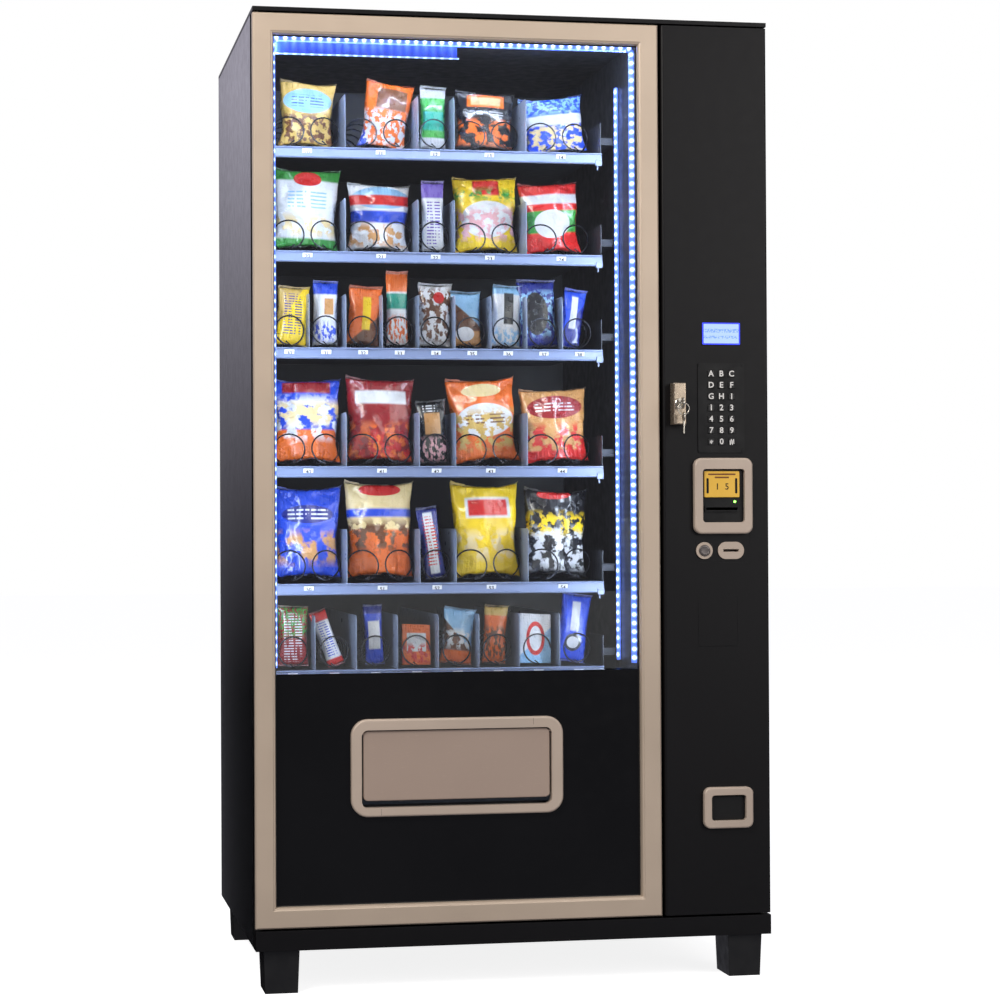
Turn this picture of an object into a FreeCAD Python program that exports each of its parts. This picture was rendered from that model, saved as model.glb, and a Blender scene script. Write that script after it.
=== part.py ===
import FreeCAD, Part
import math
import os
from FreeCAD import Vector

# Glass-front snack vending machine. Millimetres, +Z up, origin on the floor at the centre of the
# four legs' fixing holes, the doors face -Y and +X is to a customer's right.

# ---- driving dimensions -------------------------------------------------------------------------
WIDTH = 990.0
DEPTH = 760.0
HEIGHT = 1834.0
LEFT = -WIDTH / 2
RIGHT = WIDTH / 2
FRONT = -DEPTH / 2
REAR = DEPTH / 2

SKIN = 2.0
LINER_SKIN = 1.5
LEG_HEIGHT = 81.0
LEG_INSET = 17.0
LEG_FRONT_INSET = 14.0
LEG_WIDTH = 64.0
LEG_LENGTH = 90.0
LEG_TAPER = 3.0
LEG_WALL = 4.0
LEG_SOLE = 8.0
LEG_HOLE_R = 5.5
BASE_TOP = 118.0
CAP_BOTTOM = 1826.0
HEADER_BOTTOM = 1798.5

DOOR_BOTTOM = 122.0
DOOR_TOP = 1823.0
DOOR_DEPTH = 45.0
DOOR_BACK = FRONT + DOOR_DEPTH
CABINET_FRONT = DOOR_BACK + 4.0
GLASS_DOOR_RIGHT = LEFT + 775.0
CONTROL_DOOR_LEFT = LEFT + 781.0
FRAME_MEMBER = 35.5
FRAME_DEPTH = 18.0
FRAME_BEVEL = 2.5
PANE_THICKNESS = 6.0
WINDOW_BOTTOM = 593.0
HINGE_INSET = 9.5
HINGE_BACK = 30.0
HINGE_PIN_R = 4.0
HINGE_PIN_LENGTH = 20.0

LINER_LEFT = LEFT + 38.0
LINER_RIGHT = LEFT + 741.0
LINER_BACK = 330.0
LINER_TOP = 1797.0
DECK_LEVEL = 541.5

TRAY_LEFT = LEFT + 48.0
TRAY_RIGHT = LEFT + 706.0
TRAY_SKIN = 1.2
TRAY_FRONT = FRONT + 187.0
TRAY_BACK = 300.0
TRAY_SIDE_HEIGHT = 60.0
RAIL_HEIGHT = 22.0
LANES_LEFT = LEFT + 54.0
LANES_RIGHT = LEFT + 698.4
DIVIDER_HEIGHT = 105.0
TRAY_LEVELS = (1602.0, 1400.5, 1213.5, 984.0, 757.0, 590.0)
WIDE_ROWS = (0, 1, 3, 4)

COIL_R = 28.9
COIL_WIRE = 1.7
COIL_LIFT = 34.5
COIL_FRONT = TRAY_FRONT + 7.0
COIL_LENGTH = 478.0
WIDE_TURNS = 7
NARROW_TURNS = 12
COUPLER_R = 31.5
COUPLER_DEPTH = 8.0
STUB_R = 4.0
STUB_CLEARANCE = 0.05
STUB_LENGTH = 12.0
PACK_GAP = 1.6

KEY_SIZE = 12.0
KEY_PITCH_X = 20.3
KEY_PITCH_Z = 21.7
KEY_TRAVEL = 2.0

# Sub-positions on the control door, from the cabinet's left side and from the floor.
DISPLAY_X = LEFT + 896.8
DISPLAY_Z = 1233.3
KEYPAD_X = LEFT + 896.0
KEYPAD_Z = 1091.0
LOCK_X = LEFT + 807.6
LOCK_Z = 1097.5
BILL_X = LEFT + 897.5
BILL_Z = 922.0
BUTTON_X = LEFT + 861.0
SLOT_X = LEFT + 913.7
COIN_Z = 817.5
CUP_X = LEFT + 904.6
CUP_Z = 325.8
CUP_W = 68.4
CUP_H = 48.6
CUP_PIVOT_Z = CUP_Z + CUP_H / 2 - 4.0
BUTTON_R = 10.8
COIN_PLATE_W = 51.5
COIN_PLATE_H = 33.0
COIN_SLOT_W = 30.4
COIN_SLOT_H = 4.8
COIN_SLOT_DEPTH = 28.0
CHUTE_W = 35.6
CHUTE_H = 9.6
CHUTE_DEPTH = COIN_SLOT_DEPTH + 4.0
CHUTE_GAP = 0.2
PAYMENT_LEFT = BILL_X - 54.0
PAYMENT_RIGHT = BILL_X + 54.0
PAYMENT_BOTTOM = COIN_Z - 23.0
PAYMENT_TOP = BILL_Z + 56.0
PAYMENT_PLATE_TOP = BILL_Z - 56.0
PAYMENT_GAP = 0.1

# Sub-positions on the glass door.
BEZEL_X = LEFT + 382.4
BEZEL_Z = 414.8
PORT_X = LEFT + 381.1
PORT_Z = 413.0
PORT_WIDTH = 363.0
PORT_HEIGHT = 145.0
SLEEVE_WALL = 2.5
FLAP_PIVOT_Z = 479.0
FLAP_PIVOT_Y = FRONT + 14.0
FLAP_THICKNESS = 6.0

PART_FOLDER = "parts"
os.makedirs(PART_FOLDER, exist_ok=True)


# ---- small helpers ------------------------------------------------------------------------------
def save(node, *shapes):
    """Writes one sub-part, a single solid or a group of separate ones, to its STEP file."""
    whole = shapes[0] if len(shapes) == 1 else Part.makeCompound(list(shapes))
    whole.exportStep(os.path.join(PART_FOLDER, node + ".step"))


def block(x0, x1, y0, y1, z0, z1):
    return Part.makeBox(x1 - x0, y1 - y0, z1 - z0, Vector(x0, y0, z0))


def centred(x, z, width, height, y0, y1):
    return block(x - width / 2, x + width / 2, y0, y1, z - height / 2, z + height / 2)


def rounded(x, z, width, height, radius, y0, y1):
    """A plate facing -Y with round corners."""
    plate = centred(x, z, width, height, y0, y1)
    corners = [e for e in plate.Edges if abs(e.tangentAt(e.FirstParameter).y) > 0.99]
    return plate.makeFillet(radius, corners)


def rod(x, y, z, radius, length, direction):
    return Part.makeCylinder(radius, length, Vector(x, y, z), direction)


def fuse(*shapes):
    return shapes[0].multiFuse(list(shapes[1:])).removeSplitter()


ALONG_X = Vector(1, 0, 0)
ALONG_Y = Vector(0, 1, 0)
ALONG_Z = Vector(0, 0, 1)


# ---- cabinet ------------------------------------------------------------------------------------
def side_panel(side):
    """One outer side: a sheet with a front return flange. side is -1 for the left, 1 for the right."""
    inner = RIGHT - SKIN
    reach = 34.5 if side < 0 else 23.0
    sheet = block(inner, RIGHT, CABINET_FRONT, REAR, LEG_HEIGHT, CAP_BOTTOM)
    flange = block(inner - reach, inner, CABINET_FRONT, CABINET_FRONT + SKIN, BASE_TOP, HEADER_BOTTOM)
    panel = fuse(sheet, flange)
    return panel if side > 0 else panel.mirror(Vector(0, 0, 0), ALONG_X)


def rear_panel():
    """The back sheet, with the power inlet's cut-out low on one side and rows of vent slots."""
    sheet = block(LEFT + SKIN, RIGHT - SKIN, REAR - SKIN, REAR, BASE_TOP, CAP_BOTTOM)
    cuts = [centred(INLET_X, INLET_Z, 28.0, 24.0, REAR - 10, REAR + 10)]
    for row in range(8):
        cuts.append(centred(0.0, 190.0 + 22.0 * row, 420.0, 6.0, REAR - 10, REAR + 10))
    return sheet.cut(Part.makeCompound(cuts))


def top_panel():
    """The cap: a sheet with a short lip all round, and the header that closes the front above the liner."""
    top = block(LEFT, RIGHT, FRONT, REAR, HEIGHT - SKIN, HEIGHT)
    front_lip = block(LEFT, RIGHT, FRONT, FRONT + SKIN, CAP_BOTTOM, HEIGHT - SKIN)
    rear_lip = block(LEFT, RIGHT, REAR - SKIN, REAR, CAP_BOTTOM, HEIGHT - SKIN)
    left_lip = block(LEFT, LEFT + SKIN, FRONT, REAR, CAP_BOTTOM, HEIGHT - SKIN)
    right_lip = block(RIGHT - SKIN, RIGHT, FRONT, REAR, CAP_BOTTOM, HEIGHT - SKIN)
    header = block(LEFT + SKIN, RIGHT - SKIN, CABINET_FRONT, CABINET_FRONT + SKIN,
                   HEADER_BOTTOM, HEIGHT - SKIN)
    return fuse(top, front_lip, rear_lip, left_lip, right_lip, header)


RUNNER_OUTER = 446.0 + 35.0
RUNNER_INNER = 446.0 - 35.0


def base_frame():
    """Front rail, floor sheet, rear rail and the two box-section runners that the legs bolt to."""
    wall = 3.0
    front = block(LEFT, RIGHT, FRONT, FRONT + wall, LEG_HEIGHT, BASE_TOP)
    shelf = block(LEFT, RIGHT, FRONT, CABINET_FRONT, BASE_TOP - wall, BASE_TOP)
    left_end = block(LEFT, LEFT + wall, FRONT, CABINET_FRONT, LEG_HEIGHT, BASE_TOP)
    right_end = block(RIGHT - wall, RIGHT, FRONT, CABINET_FRONT, LEG_HEIGHT, BASE_TOP)
    floor = block(LEFT + SKIN, RIGHT - SKIN, CABINET_FRONT, REAR, BASE_TOP - wall, BASE_TOP)
    rear = block(LEFT + SKIN, RIGHT - SKIN, REAR - wall, REAR, LEG_HEIGHT, BASE_TOP)
    frame = fuse(front, shelf, left_end, right_end, floor, rear)
    for side in (-1, 1):
        x0, x1 = sorted((side * RUNNER_INNER, side * RUNNER_OUTER))
        tube = block(x0, x1, FRONT + wall, REAR - wall, LEG_HEIGHT, BASE_TOP - wall)
        hollow = block(x0 + wall, x1 - wall, FRONT + wall, REAR - wall, LEG_HEIGHT + wall, BASE_TOP - wall)
        frame = frame.fuse(tube.cut(hollow))
    return frame.cut(hinge_pin_holes()).removeSplitter()


LEG_X = RIGHT - LEG_INSET - LEG_WIDTH / 2
LEG_Y = REAR - LEG_FRONT_INSET - LEG_LENGTH / 2


def rectangle_wire(x, y, z, width, length):
    half_w, half_l = width / 2, length / 2
    points = [Vector(x - half_w, y - half_l, z), Vector(x + half_w, y - half_l, z),
              Vector(x + half_w, y + half_l, z), Vector(x - half_w, y + half_l, z)]
    return Part.makePolygon(points + points[:1])


def leg(x, y):
    """A pressed steel leg that tapers to the floor, with a fixing hole through its sole."""
    shoulder = rectangle_wire(x, y, LEG_HEIGHT, LEG_WIDTH + LEG_TAPER, LEG_LENGTH + LEG_TAPER)
    sole = rectangle_wire(x, y, 0.0, LEG_WIDTH - LEG_TAPER, LEG_LENGTH - LEG_TAPER)
    body = Part.makeLoft([sole, shoulder], True)
    thin = 2 * LEG_WALL
    inner_top = rectangle_wire(x, y, LEG_HEIGHT, LEG_WIDTH + LEG_TAPER - thin, LEG_LENGTH + LEG_TAPER - thin)
    inner_low = rectangle_wire(x, y, LEG_SOLE, LEG_WIDTH - LEG_TAPER - thin, LEG_LENGTH - LEG_TAPER - thin)
    body = body.cut(Part.makeLoft([inner_low, inner_top], True))
    return body.cut(rod(x, y, -1.0, LEG_HOLE_R, LEG_SOLE + 2, ALONG_Z))


def compartment_liner():
    """The inner box that holds the trays: two sides, ceiling, back and the deck above the base."""
    thick = LINER_SKIN
    left = block(LINER_LEFT - thick, LINER_LEFT, CABINET_FRONT, LINER_BACK, 333.0, LINER_TOP)
    right = block(LINER_RIGHT, LINER_RIGHT + thick, CABINET_FRONT, LINER_BACK, 333.0, LINER_TOP)
    ceiling = block(LINER_LEFT - thick, LINER_RIGHT + thick, CABINET_FRONT, LINER_BACK,
                    LINER_TOP, LINER_TOP + thick)
    back = block(LINER_LEFT, LINER_RIGHT, LINER_BACK - thick, LINER_BACK, BASE_TOP, LINER_TOP)
    deck = block(LINER_LEFT, LINER_RIGHT, BIN_BACK, LINER_BACK - thick, DECK_LEVEL - thick, DECK_LEVEL)
    return fuse(left, right, ceiling, back, deck)


BIN_BACK = -158.0
BIN_FLOOR = 335.0


def delivery_bin():
    """The trough that catches a product, open at the front towards the flap and open above."""
    thick = LINER_SKIN
    floor = block(LINER_LEFT, LINER_RIGHT, CABINET_FRONT, BIN_BACK, BIN_FLOOR - thick, BIN_FLOOR)
    back = block(LINER_LEFT, LINER_RIGHT, BIN_BACK - thick, BIN_BACK, BIN_FLOOR, DECK_LEVEL)
    lip = block(LINER_LEFT, LINER_RIGHT, CABINET_FRONT, CABINET_FRONT + thick, BIN_FLOOR, BIN_FLOOR + 8)
    legs = [block(x, x + thick, BIN_BACK - 40, BIN_BACK, BASE_TOP, BIN_FLOOR - thick)
            for x in (LINER_LEFT + 60, 0.0, LINER_RIGHT - 60)]
    return fuse(floor, back, lip, *legs)


# ---- trays --------------------------------------------------------------------------------------
def lane_edges(row):
    """X of every edge between the lanes of a tray, from left to right."""
    if row in WIDE_ROWS:
        shares = (0, 2, 4, 5, 7, 9)
        return [LANES_LEFT + (LANES_RIGHT - LANES_LEFT) * s / 9 for s in shares]
    lanes = 9 if row == 2 else 8
    return [LANES_LEFT + (LANES_RIGHT - LANES_LEFT) * k / lanes for k in range(lanes + 1)]


def lanes(row):
    """(left edge, right edge, is it wide) of each lane of a tray."""
    edges = lane_edges(row)
    return [(a, b, b - a > 100.0) for a, b in zip(edges, edges[1:])]


def coil_centres(left, right, wide):
    if not wide:
        return [(left + right) / 2]
    quarter = (right - left) / 4
    return [left + quarter, right - quarter]


def every_coil():
    """(row, x, height of the axis, turns, hand) of each coil. The left one of a pair is left-handed."""
    found = []
    for row, level in enumerate(TRAY_LEVELS):
        for left, right, wide in lanes(row):
            centres = coil_centres(left, right, wide)
            turns = WIDE_TURNS if wide else NARROW_TURNS
            for k, x in enumerate(centres):
                hand = -1 if wide and k == 0 else 1
                found.append((row, x, level + COIL_LIFT, turns, hand))
    return found


def tray(row):
    """A tray: floor, two ends and the upright that the motors hang on, with a hole for each shaft."""
    level = TRAY_LEVELS[row]
    thick = TRAY_SKIN
    floor = block(TRAY_LEFT, TRAY_RIGHT, TRAY_FRONT, TRAY_BACK, level - thick, level)
    left = block(TRAY_LEFT, TRAY_LEFT + thick, TRAY_FRONT, TRAY_BACK, level, level + TRAY_SIDE_HEIGHT)
    right = block(TRAY_RIGHT - thick, TRAY_RIGHT, TRAY_FRONT, TRAY_BACK, level, level + TRAY_SIDE_HEIGHT)
    back = block(TRAY_LEFT, TRAY_RIGHT, TRAY_BACK - thick, TRAY_BACK, level, level + 75.0)
    holes = [rod(x, TRAY_BACK - 5, z, STUB_R + 2, 10.0, ALONG_Y)
             for r, x, z, _, _ in every_coil() if r == row]
    return fuse(floor, left, right, back).cut(Part.makeCompound(holes))


def tray_slides(row):
    """The two runners that carry a tray between the liner's walls."""
    low = TRAY_LEVELS[row] + 20.0
    high = low + 14.0
    return [block(LINER_LEFT, TRAY_LEFT, TRAY_FRONT + 20, TRAY_BACK, low, high),
            block(TRAY_RIGHT, LINER_RIGHT, TRAY_FRONT + 20, TRAY_BACK, low, high)]


def price_rail(row):
    """The sloping strip along a tray's front that holds the price tags."""
    level = TRAY_LEVELS[row]
    profile = [(TRAY_FRONT, level), (TRAY_FRONT - 4, level), (TRAY_FRONT - 5, level - 2),
               (TRAY_FRONT - 11, level - RAIL_HEIGHT + 2), (TRAY_FRONT - 12, level - RAIL_HEIGHT),
               (TRAY_FRONT, level - RAIL_HEIGHT)]
    points = [Vector(TRAY_LEFT, y, z) for y, z in profile]
    face = Part.Face(Part.makePolygon(points + points[:1]))
    return face.extrude(Vector(TRAY_RIGHT - TRAY_LEFT, 0, 0))


def dividers(row):
    """The upright sheets between a tray's lanes, with rounded front top corners."""
    plates = []
    for x in lane_edges(row)[1:-1]:
        z = TRAY_LEVELS[row]
        plate = block(x - TRAY_SKIN / 2, x + TRAY_SKIN / 2, TRAY_FRONT, TRAY_BACK - 2, z, z + DIVIDER_HEIGHT)
        corner = [e for e in plate.Edges
                  if abs(e.BoundBox.YMax - TRAY_FRONT) < 0.01 and e.BoundBox.ZMin > z + 1 and
                  e.BoundBox.XLength > 0.5]
        plates.append(plate.makeFillet(12.0, corner))
    return plates


def motor(row, left, right, wide):
    """A lane's motor box behind the tray's upright, with a bore for each coil's stub shaft."""
    level = TRAY_LEVELS[row] + COIL_LIFT
    x = (left + right) / 2
    body = centred(x, level, 112.0 if wide else 52.0, 42.0, TRAY_BACK, TRAY_BACK + 26.0)
    for centre in coil_centres(left, right, wide):
        body = body.cut(rod(centre, TRAY_BACK - 1, level, STUB_R + STUB_CLEARANCE, 9.0, ALONG_Y))
    return body


def coil(turns, hand):
    """A spiral on the Y axis from y = 0, starting at the bottom, on its drive coupler and stub shaft."""
    pitch = COIL_LENGTH / turns
    helix = Part.makeHelix(pitch, COIL_LENGTH, COIL_R, 0, hand < 0)
    corners = [Vector(COIL_R + dx * COIL_WIRE, 0, dz * COIL_WIRE) for dx, dz in ((1, 0), (0, 1), (-1, 0), (0, -1))]
    pipe = Part.BRepOffsetAPI.MakePipeShell(Part.Wire(helix.Edges))
    pipe.setFrenetMode(True)
    pipe.add(Part.makePolygon(corners + corners[:1]))
    pipe.build()
    pipe.makeSolid()
    wire = pipe.shape()
    wire.rotate(Vector(0, 0, 0), ALONG_X, -90)
    wire.rotate(Vector(0, 0, 0), ALONG_Y, 90)
    coupler = rod(0, COIL_LENGTH - 5.0, 0, COUPLER_R, COUPLER_DEPTH, ALONG_Y)
    stub = rod(0, COIL_LENGTH + 2.0, 0, STUB_R, STUB_LENGTH, ALONG_Y)
    return wire.fuse(fuse(coupler, stub))


def pack(centres, width, height, level, turns):
    """A closed packet that stands in its coils: round inside them, flat above, thickest over the top."""
    pitch = COIL_LENGTH / turns
    axis = level + COIL_LIFT
    middle = COIL_FRONT + pitch
    x = sum(centres) / len(centres)
    waist = 2 * (pitch / 4 - COIL_WIRE - PACK_GAP)
    chest = min(0.62 * pitch, 44.0)
    lobe_r = min(COIL_R - COIL_WIRE - PACK_GAP, width / 2)
    top = level + height
    above = axis + COIL_R + COIL_WIRE + PACK_GAP
    slab = block(x - width / 2, x + width / 2, middle - waist / 2, middle + waist / 2,
                 axis + COIL_WIRE + PACK_GAP, top)
    bulge = block(x - width / 2 + 2, x + width / 2 - 2, middle - chest / 2, middle + chest / 2,
                  above, top - 8.0)
    lobes = [rod(c, middle - chest / 2, axis, lobe_r, chest, ALONG_Y) for c in centres]
    return fuse(slab, bulge, *lobes)


# (width, height) of the packet at the front of each lane, row by row from the top left.
PACKS = (
    ((105, 133), (107, 131), (55, 119), (122, 123), (135, 116)),
    ((132, 166), (129, 139), (46, 142), (137, 152), (117, 148)),
    ((57, 116), (50, 127), (65, 117), (44, 149), (66, 126), (63, 111), (63, 125), (66, 133), (43, 116)),
    ((136, 174), (138, 176), (64, 128), (138, 175), (138, 152)),
    ((138, 188), (138, 196), (46, 141), (138, 192), (126, 180)),
    ((59, 119), (60, 96), (40, 119), (56, 80), (66, 110), (54, 116), (64, 98), (66, 139)),
)
# The lanes whose coil turns and whose packet moves: (row, lane).
VEND_LANES = {"a": (2, 4), "b": (5, 2)}


# ---- glass door ---------------------------------------------------------------------------------
def mitred_member(start, end):
    """One frame extrusion between two corners, with mitred ends and bevelled long front edges."""
    outline = [(start[0], start[1]), (end[0], end[1]),
               (end[0] + FRAME_MEMBER * end[2], end[1] + FRAME_MEMBER * end[3]),
               (start[0] + FRAME_MEMBER * start[2], start[1] + FRAME_MEMBER * start[3])]
    points = [Vector(x, FRONT, z) for x, z in outline]
    body = Part.Face(Part.makePolygon(points + points[:1])).extrude(Vector(0, FRAME_DEPTH, 0))
    run = (points[1] - points[0]).normalize()
    long_front = [e for e in body.Edges if e.BoundBox.YMax < FRONT + 0.01 and
                  abs(e.tangentAt(e.FirstParameter).dot(run)) > 0.99]
    return body.makeChamfer(FRAME_BEVEL, long_front)


def door_frame():
    """Four aluminium extrusions, mitred at the corners. A corner is (x, z, inward x, inward z)."""
    low_left = (LEFT, DOOR_BOTTOM, 1, 1)
    low_right = (GLASS_DOOR_RIGHT, DOOR_BOTTOM, -1, 1)
    top_right = (GLASS_DOOR_RIGHT, DOOR_TOP, -1, -1)
    top_left = (LEFT, DOOR_TOP, 1, -1)
    ring = (low_left, low_right, top_right, top_left)
    return [mitred_member(ring[k], ring[(k + 1) % 4]) for k in range(4)]


GLASS_BACK = FRONT + FRAME_DEPTH + PANE_THICKNESS
OPENING_LEFT = LINER_LEFT + 1.0
OPENING_RIGHT = LINER_RIGHT - 3.0


def door_pan():
    """The steel inner frame behind the glass, with a tunnel for the delivery flap and hinge bores."""
    y0, y1 = GLASS_BACK, DOOR_BACK
    outer = block(LEFT + 2, GLASS_DOOR_RIGHT - 2, y0, y1, DOOR_BOTTOM + 2, DOOR_TOP - 2)
    window = block(OPENING_LEFT, OPENING_RIGHT, y0 - 1, y1 + 1, WINDOW_BOTTOM - 14, LINER_TOP - 6)
    port = centred(BEZEL_X, 414.0, 377.0, 164.0, y0 - 1, y1 + 1)
    pan = outer.cut(window).cut(port)
    low_space = block(LEFT + 14, GLASS_DOOR_RIGHT - 14, y0 - 1, y1 - SKIN, DOOR_BOTTOM + 16, WINDOW_BOTTOM - 16)
    tunnel = centred(BEZEL_X, 414.0, 381.0, 168.0, y0 - 2, y1)
    pan = pan.cut(low_space.cut(tunnel))
    for x0, x1 in ((LEFT + 22, OPENING_LEFT - SKIN), (OPENING_RIGHT + SKIN, GLASS_DOOR_RIGHT - 4)):
        pan = pan.cut(block(x0, x1, y0 - 1, y1 - SKIN, WINDOW_BOTTOM, LINER_TOP - 8))
    return pan.cut(hinge_pin_holes())


def lower_panel():
    """The black panel under the window, cut out for the delivery bezel."""
    y0 = FRONT + FRAME_DEPTH
    sheet = block(LEFT + 25, GLASS_DOOR_RIGHT - 25, y0, y0 + 4.0, DOOR_BOTTOM + 26, WINDOW_BOTTOM - 1)
    gap = 2 * SLEEVE_WALL + 1.2
    return sheet.cut(centred(PORT_X, PORT_Z, PORT_WIDTH + gap, PORT_HEIGHT + gap, y0 - 1, y0 + 5))


def window_pane():
    y0 = FRONT + FRAME_DEPTH
    return block(LEFT + 25, GLASS_DOOR_RIGHT - 25, y0, y0 + PANE_THICKNESS, WINDOW_BOTTOM + 1, LINER_TOP + 2)


def delivery_bezel():
    """The flanged surround of the delivery port: proud flange, sleeve through the panel, pin bores."""
    panel = FRONT + FRAME_DEPTH
    flange = rounded(BEZEL_X, BEZEL_Z, 404.8, 182.6, 32.0, panel - 12.0, panel)
    outer_front = [e for e in flange.Edges if e.BoundBox.YMax < panel - 11.9]
    flange = flange.makeFillet(4.0, outer_front)
    sleeve = rounded(PORT_X, PORT_Z, PORT_WIDTH + 2 * SLEEVE_WALL, PORT_HEIGHT + 2 * SLEEVE_WALL, 14.0,
                     panel, panel + 12.0)
    port = rounded(PORT_X, PORT_Z, PORT_WIDTH, PORT_HEIGHT, 12.0, panel - 20, panel + 20)
    reach = PORT_WIDTH / 2 + SLEEVE_WALL - 0.1
    pins = rod(PORT_X - reach, FLAP_PIVOT_Y, FLAP_PIVOT_Z, 2.5, 2 * reach, ALONG_X)
    return flange.fuse(sleeve).cut(port).cut(pins).removeSplitter()


def delivery_flap():
    """The push flap, hung on two pins at its top edge."""
    face = FLAP_PIVOT_Y - FLAP_THICKNESS / 2
    plate = rounded(PORT_X, 418.5, PORT_WIDTH - 6.6, 130.6, 9.0, face, face + FLAP_THICKNESS)
    front = [e for e in plate.Edges if e.BoundBox.YMax < face + 0.1]
    plate = plate.makeFillet(2.0, front)
    reach = PORT_WIDTH / 2 + SLEEVE_WALL - 0.6
    pin = rod(PORT_X - reach, FLAP_PIVOT_Y, FLAP_PIVOT_Z, 2.44, 2 * reach, ALONG_X)
    return fuse(plate, pin)


# ---- hinges -------------------------------------------------------------------------------------
HINGE_Y = FRONT + HINGE_BACK
GLASS_HINGE_X = LEFT + HINGE_INSET
CONTROL_HINGE_X = RIGHT - HINGE_INSET


PIN_FOOT = BASE_TOP - 3.0
PIN_HEAD = HEIGHT - SKIN


def hinge_pin_holes():
    """The bores of the four pivot pins, from the base up into the doors and from the cap down."""
    radius = HINGE_PIN_R + 0.05
    top_length = PIN_HEAD - DOOR_TOP + HINGE_PIN_LENGTH
    bores = []
    for x in (GLASS_HINGE_X, CONTROL_HINGE_X):
        bores.append(rod(x, HINGE_Y, PIN_FOOT - 1, radius, HINGE_PIN_LENGTH + 2, ALONG_Z))
        bores.append(rod(x, HINGE_Y, PIN_HEAD - top_length - 1, radius, top_length + 1, ALONG_Z))
    return Part.makeCompound(bores)


def hinge_pins():
    """The four pivot pins of the two doors: each stands in the base or the cap and in the door."""
    pins = []
    for x in (GLASS_HINGE_X, CONTROL_HINGE_X):
        washer = rod(x, HINGE_Y, BASE_TOP, 7.0, DOOR_BOTTOM - BASE_TOP - 0.5, ALONG_Z)
        pins.append(fuse(rod(x, HINGE_Y, PIN_FOOT, HINGE_PIN_R, HINGE_PIN_LENGTH, ALONG_Z), washer))
        low_end = DOOR_TOP - HINGE_PIN_LENGTH
        pins.append(rod(x, HINGE_Y, low_end, HINGE_PIN_R, PIN_HEAD - low_end, ALONG_Z))
    return pins


# ---- control door -------------------------------------------------------------------------------
CONTROL_CENTRE = (CONTROL_DOOR_LEFT + RIGHT) / 2
CONTROL_WIDTH = RIGHT - CONTROL_DOOR_LEFT


def control_panel():
    """The folded steel door: a face with rounded long edges, returns, and every cut-out in the face."""
    middle = (DOOR_BOTTOM + DOOR_TOP) / 2
    tall = DOOR_TOP - DOOR_BOTTOM
    shell = centred(CONTROL_CENTRE, middle, CONTROL_WIDTH, tall, FRONT, DOOR_BACK)
    long_edges = [e for e in shell.Edges
                  if e.BoundBox.YMax < FRONT + 0.01 and e.BoundBox.ZLength > 100]
    shell = shell.makeFillet(5.0, long_edges)
    inside = centred(CONTROL_CENTRE, middle, CONTROL_WIDTH - 2 * SKIN, tall - 2 * SKIN,
                     FRONT + SKIN, DOOR_BACK + 1)
    shell = shell.cut(inside)
    returns = [block(CONTROL_DOOR_LEFT + SKIN, CONTROL_DOOR_LEFT + 20, DOOR_BACK - SKIN, DOOR_BACK,
                     DOOR_BOTTOM + SKIN, DOOR_TOP - SKIN),
               block(RIGHT - 28, RIGHT - SKIN, DOOR_BACK - SKIN, DOOR_BACK,
                     DOOR_BOTTOM + SKIN, DOOR_TOP - SKIN)]
    pivots = [rod(CONTROL_HINGE_X, HINGE_Y, z, 7.4, 10.0, ALONG_Z)
              for z in (DOOR_BOTTOM + SKIN, DOOR_TOP - SKIN - 10)]
    shell = fuse(shell, *returns, *pivots)
    deep = (FRONT - 1, FRONT + SKIN + 1)
    holes = [centred(DISPLAY_X, DISPLAY_Z, 72.0, 39.0, *deep),
             centred(KEYPAD_X, KEYPAD_Z, 2 * KEY_PITCH_X + 18, 6 * KEY_PITCH_Z + 18, *deep),
             block(PAYMENT_LEFT, PAYMENT_RIGHT, *deep, PAYMENT_BOTTOM, PAYMENT_TOP),
             centred(CUP_X, CUP_Z, 80.0, 62.0, *deep),
             rod(LOCK_X, FRONT - 1, LOCK_Z, LOCK_BARREL_R, SKIN + 2, ALONG_Y)]
    return shell.cut(Part.makeCompound(holes)).cut(hinge_pin_holes())


def payment_plate():
    """The plate that fills the lower part of the payment opening and carries the coin slot and button."""
    plate = block(PAYMENT_LEFT + PAYMENT_GAP, PAYMENT_RIGHT - PAYMENT_GAP, FRONT, FRONT + SKIN,
                  PAYMENT_BOTTOM + PAYMENT_GAP, PAYMENT_PLATE_TOP)
    chute_hole = centred(SLOT_X, COIN_Z, CHUTE_W + 2 * CHUTE_GAP, CHUTE_H + 2 * CHUTE_GAP,
                         FRONT - 1, FRONT + SKIN + 1)
    button_hole = rod(BUTTON_X, FRONT - 1, COIN_Z, 12.3, SKIN + 2, ALONG_Y)
    return plate.cut(chute_hole).cut(button_hole)


def display_module():
    """The lit window's bezel and its body behind the door face."""
    frame = rounded(DISPLAY_X, DISPLAY_Z, 77.0, 44.0, 2.0, FRONT - 1.5, FRONT)
    body = centred(DISPLAY_X, DISPLAY_Z, 71.0, 38.0, FRONT, FRONT + 16)
    return fuse(frame, body)


def key_places():
    """(name, x, z) of each key, in rows of three from the top."""
    names = "abc def ghi 123 456 789".split() + [("star", "0", "hash")]
    for row, keys in enumerate(names):
        for column, key in enumerate(keys):
            yield (key, KEYPAD_X + (column - 1) * KEY_PITCH_X, KEYPAD_Z + (3 - row) * KEY_PITCH_Z)


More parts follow.
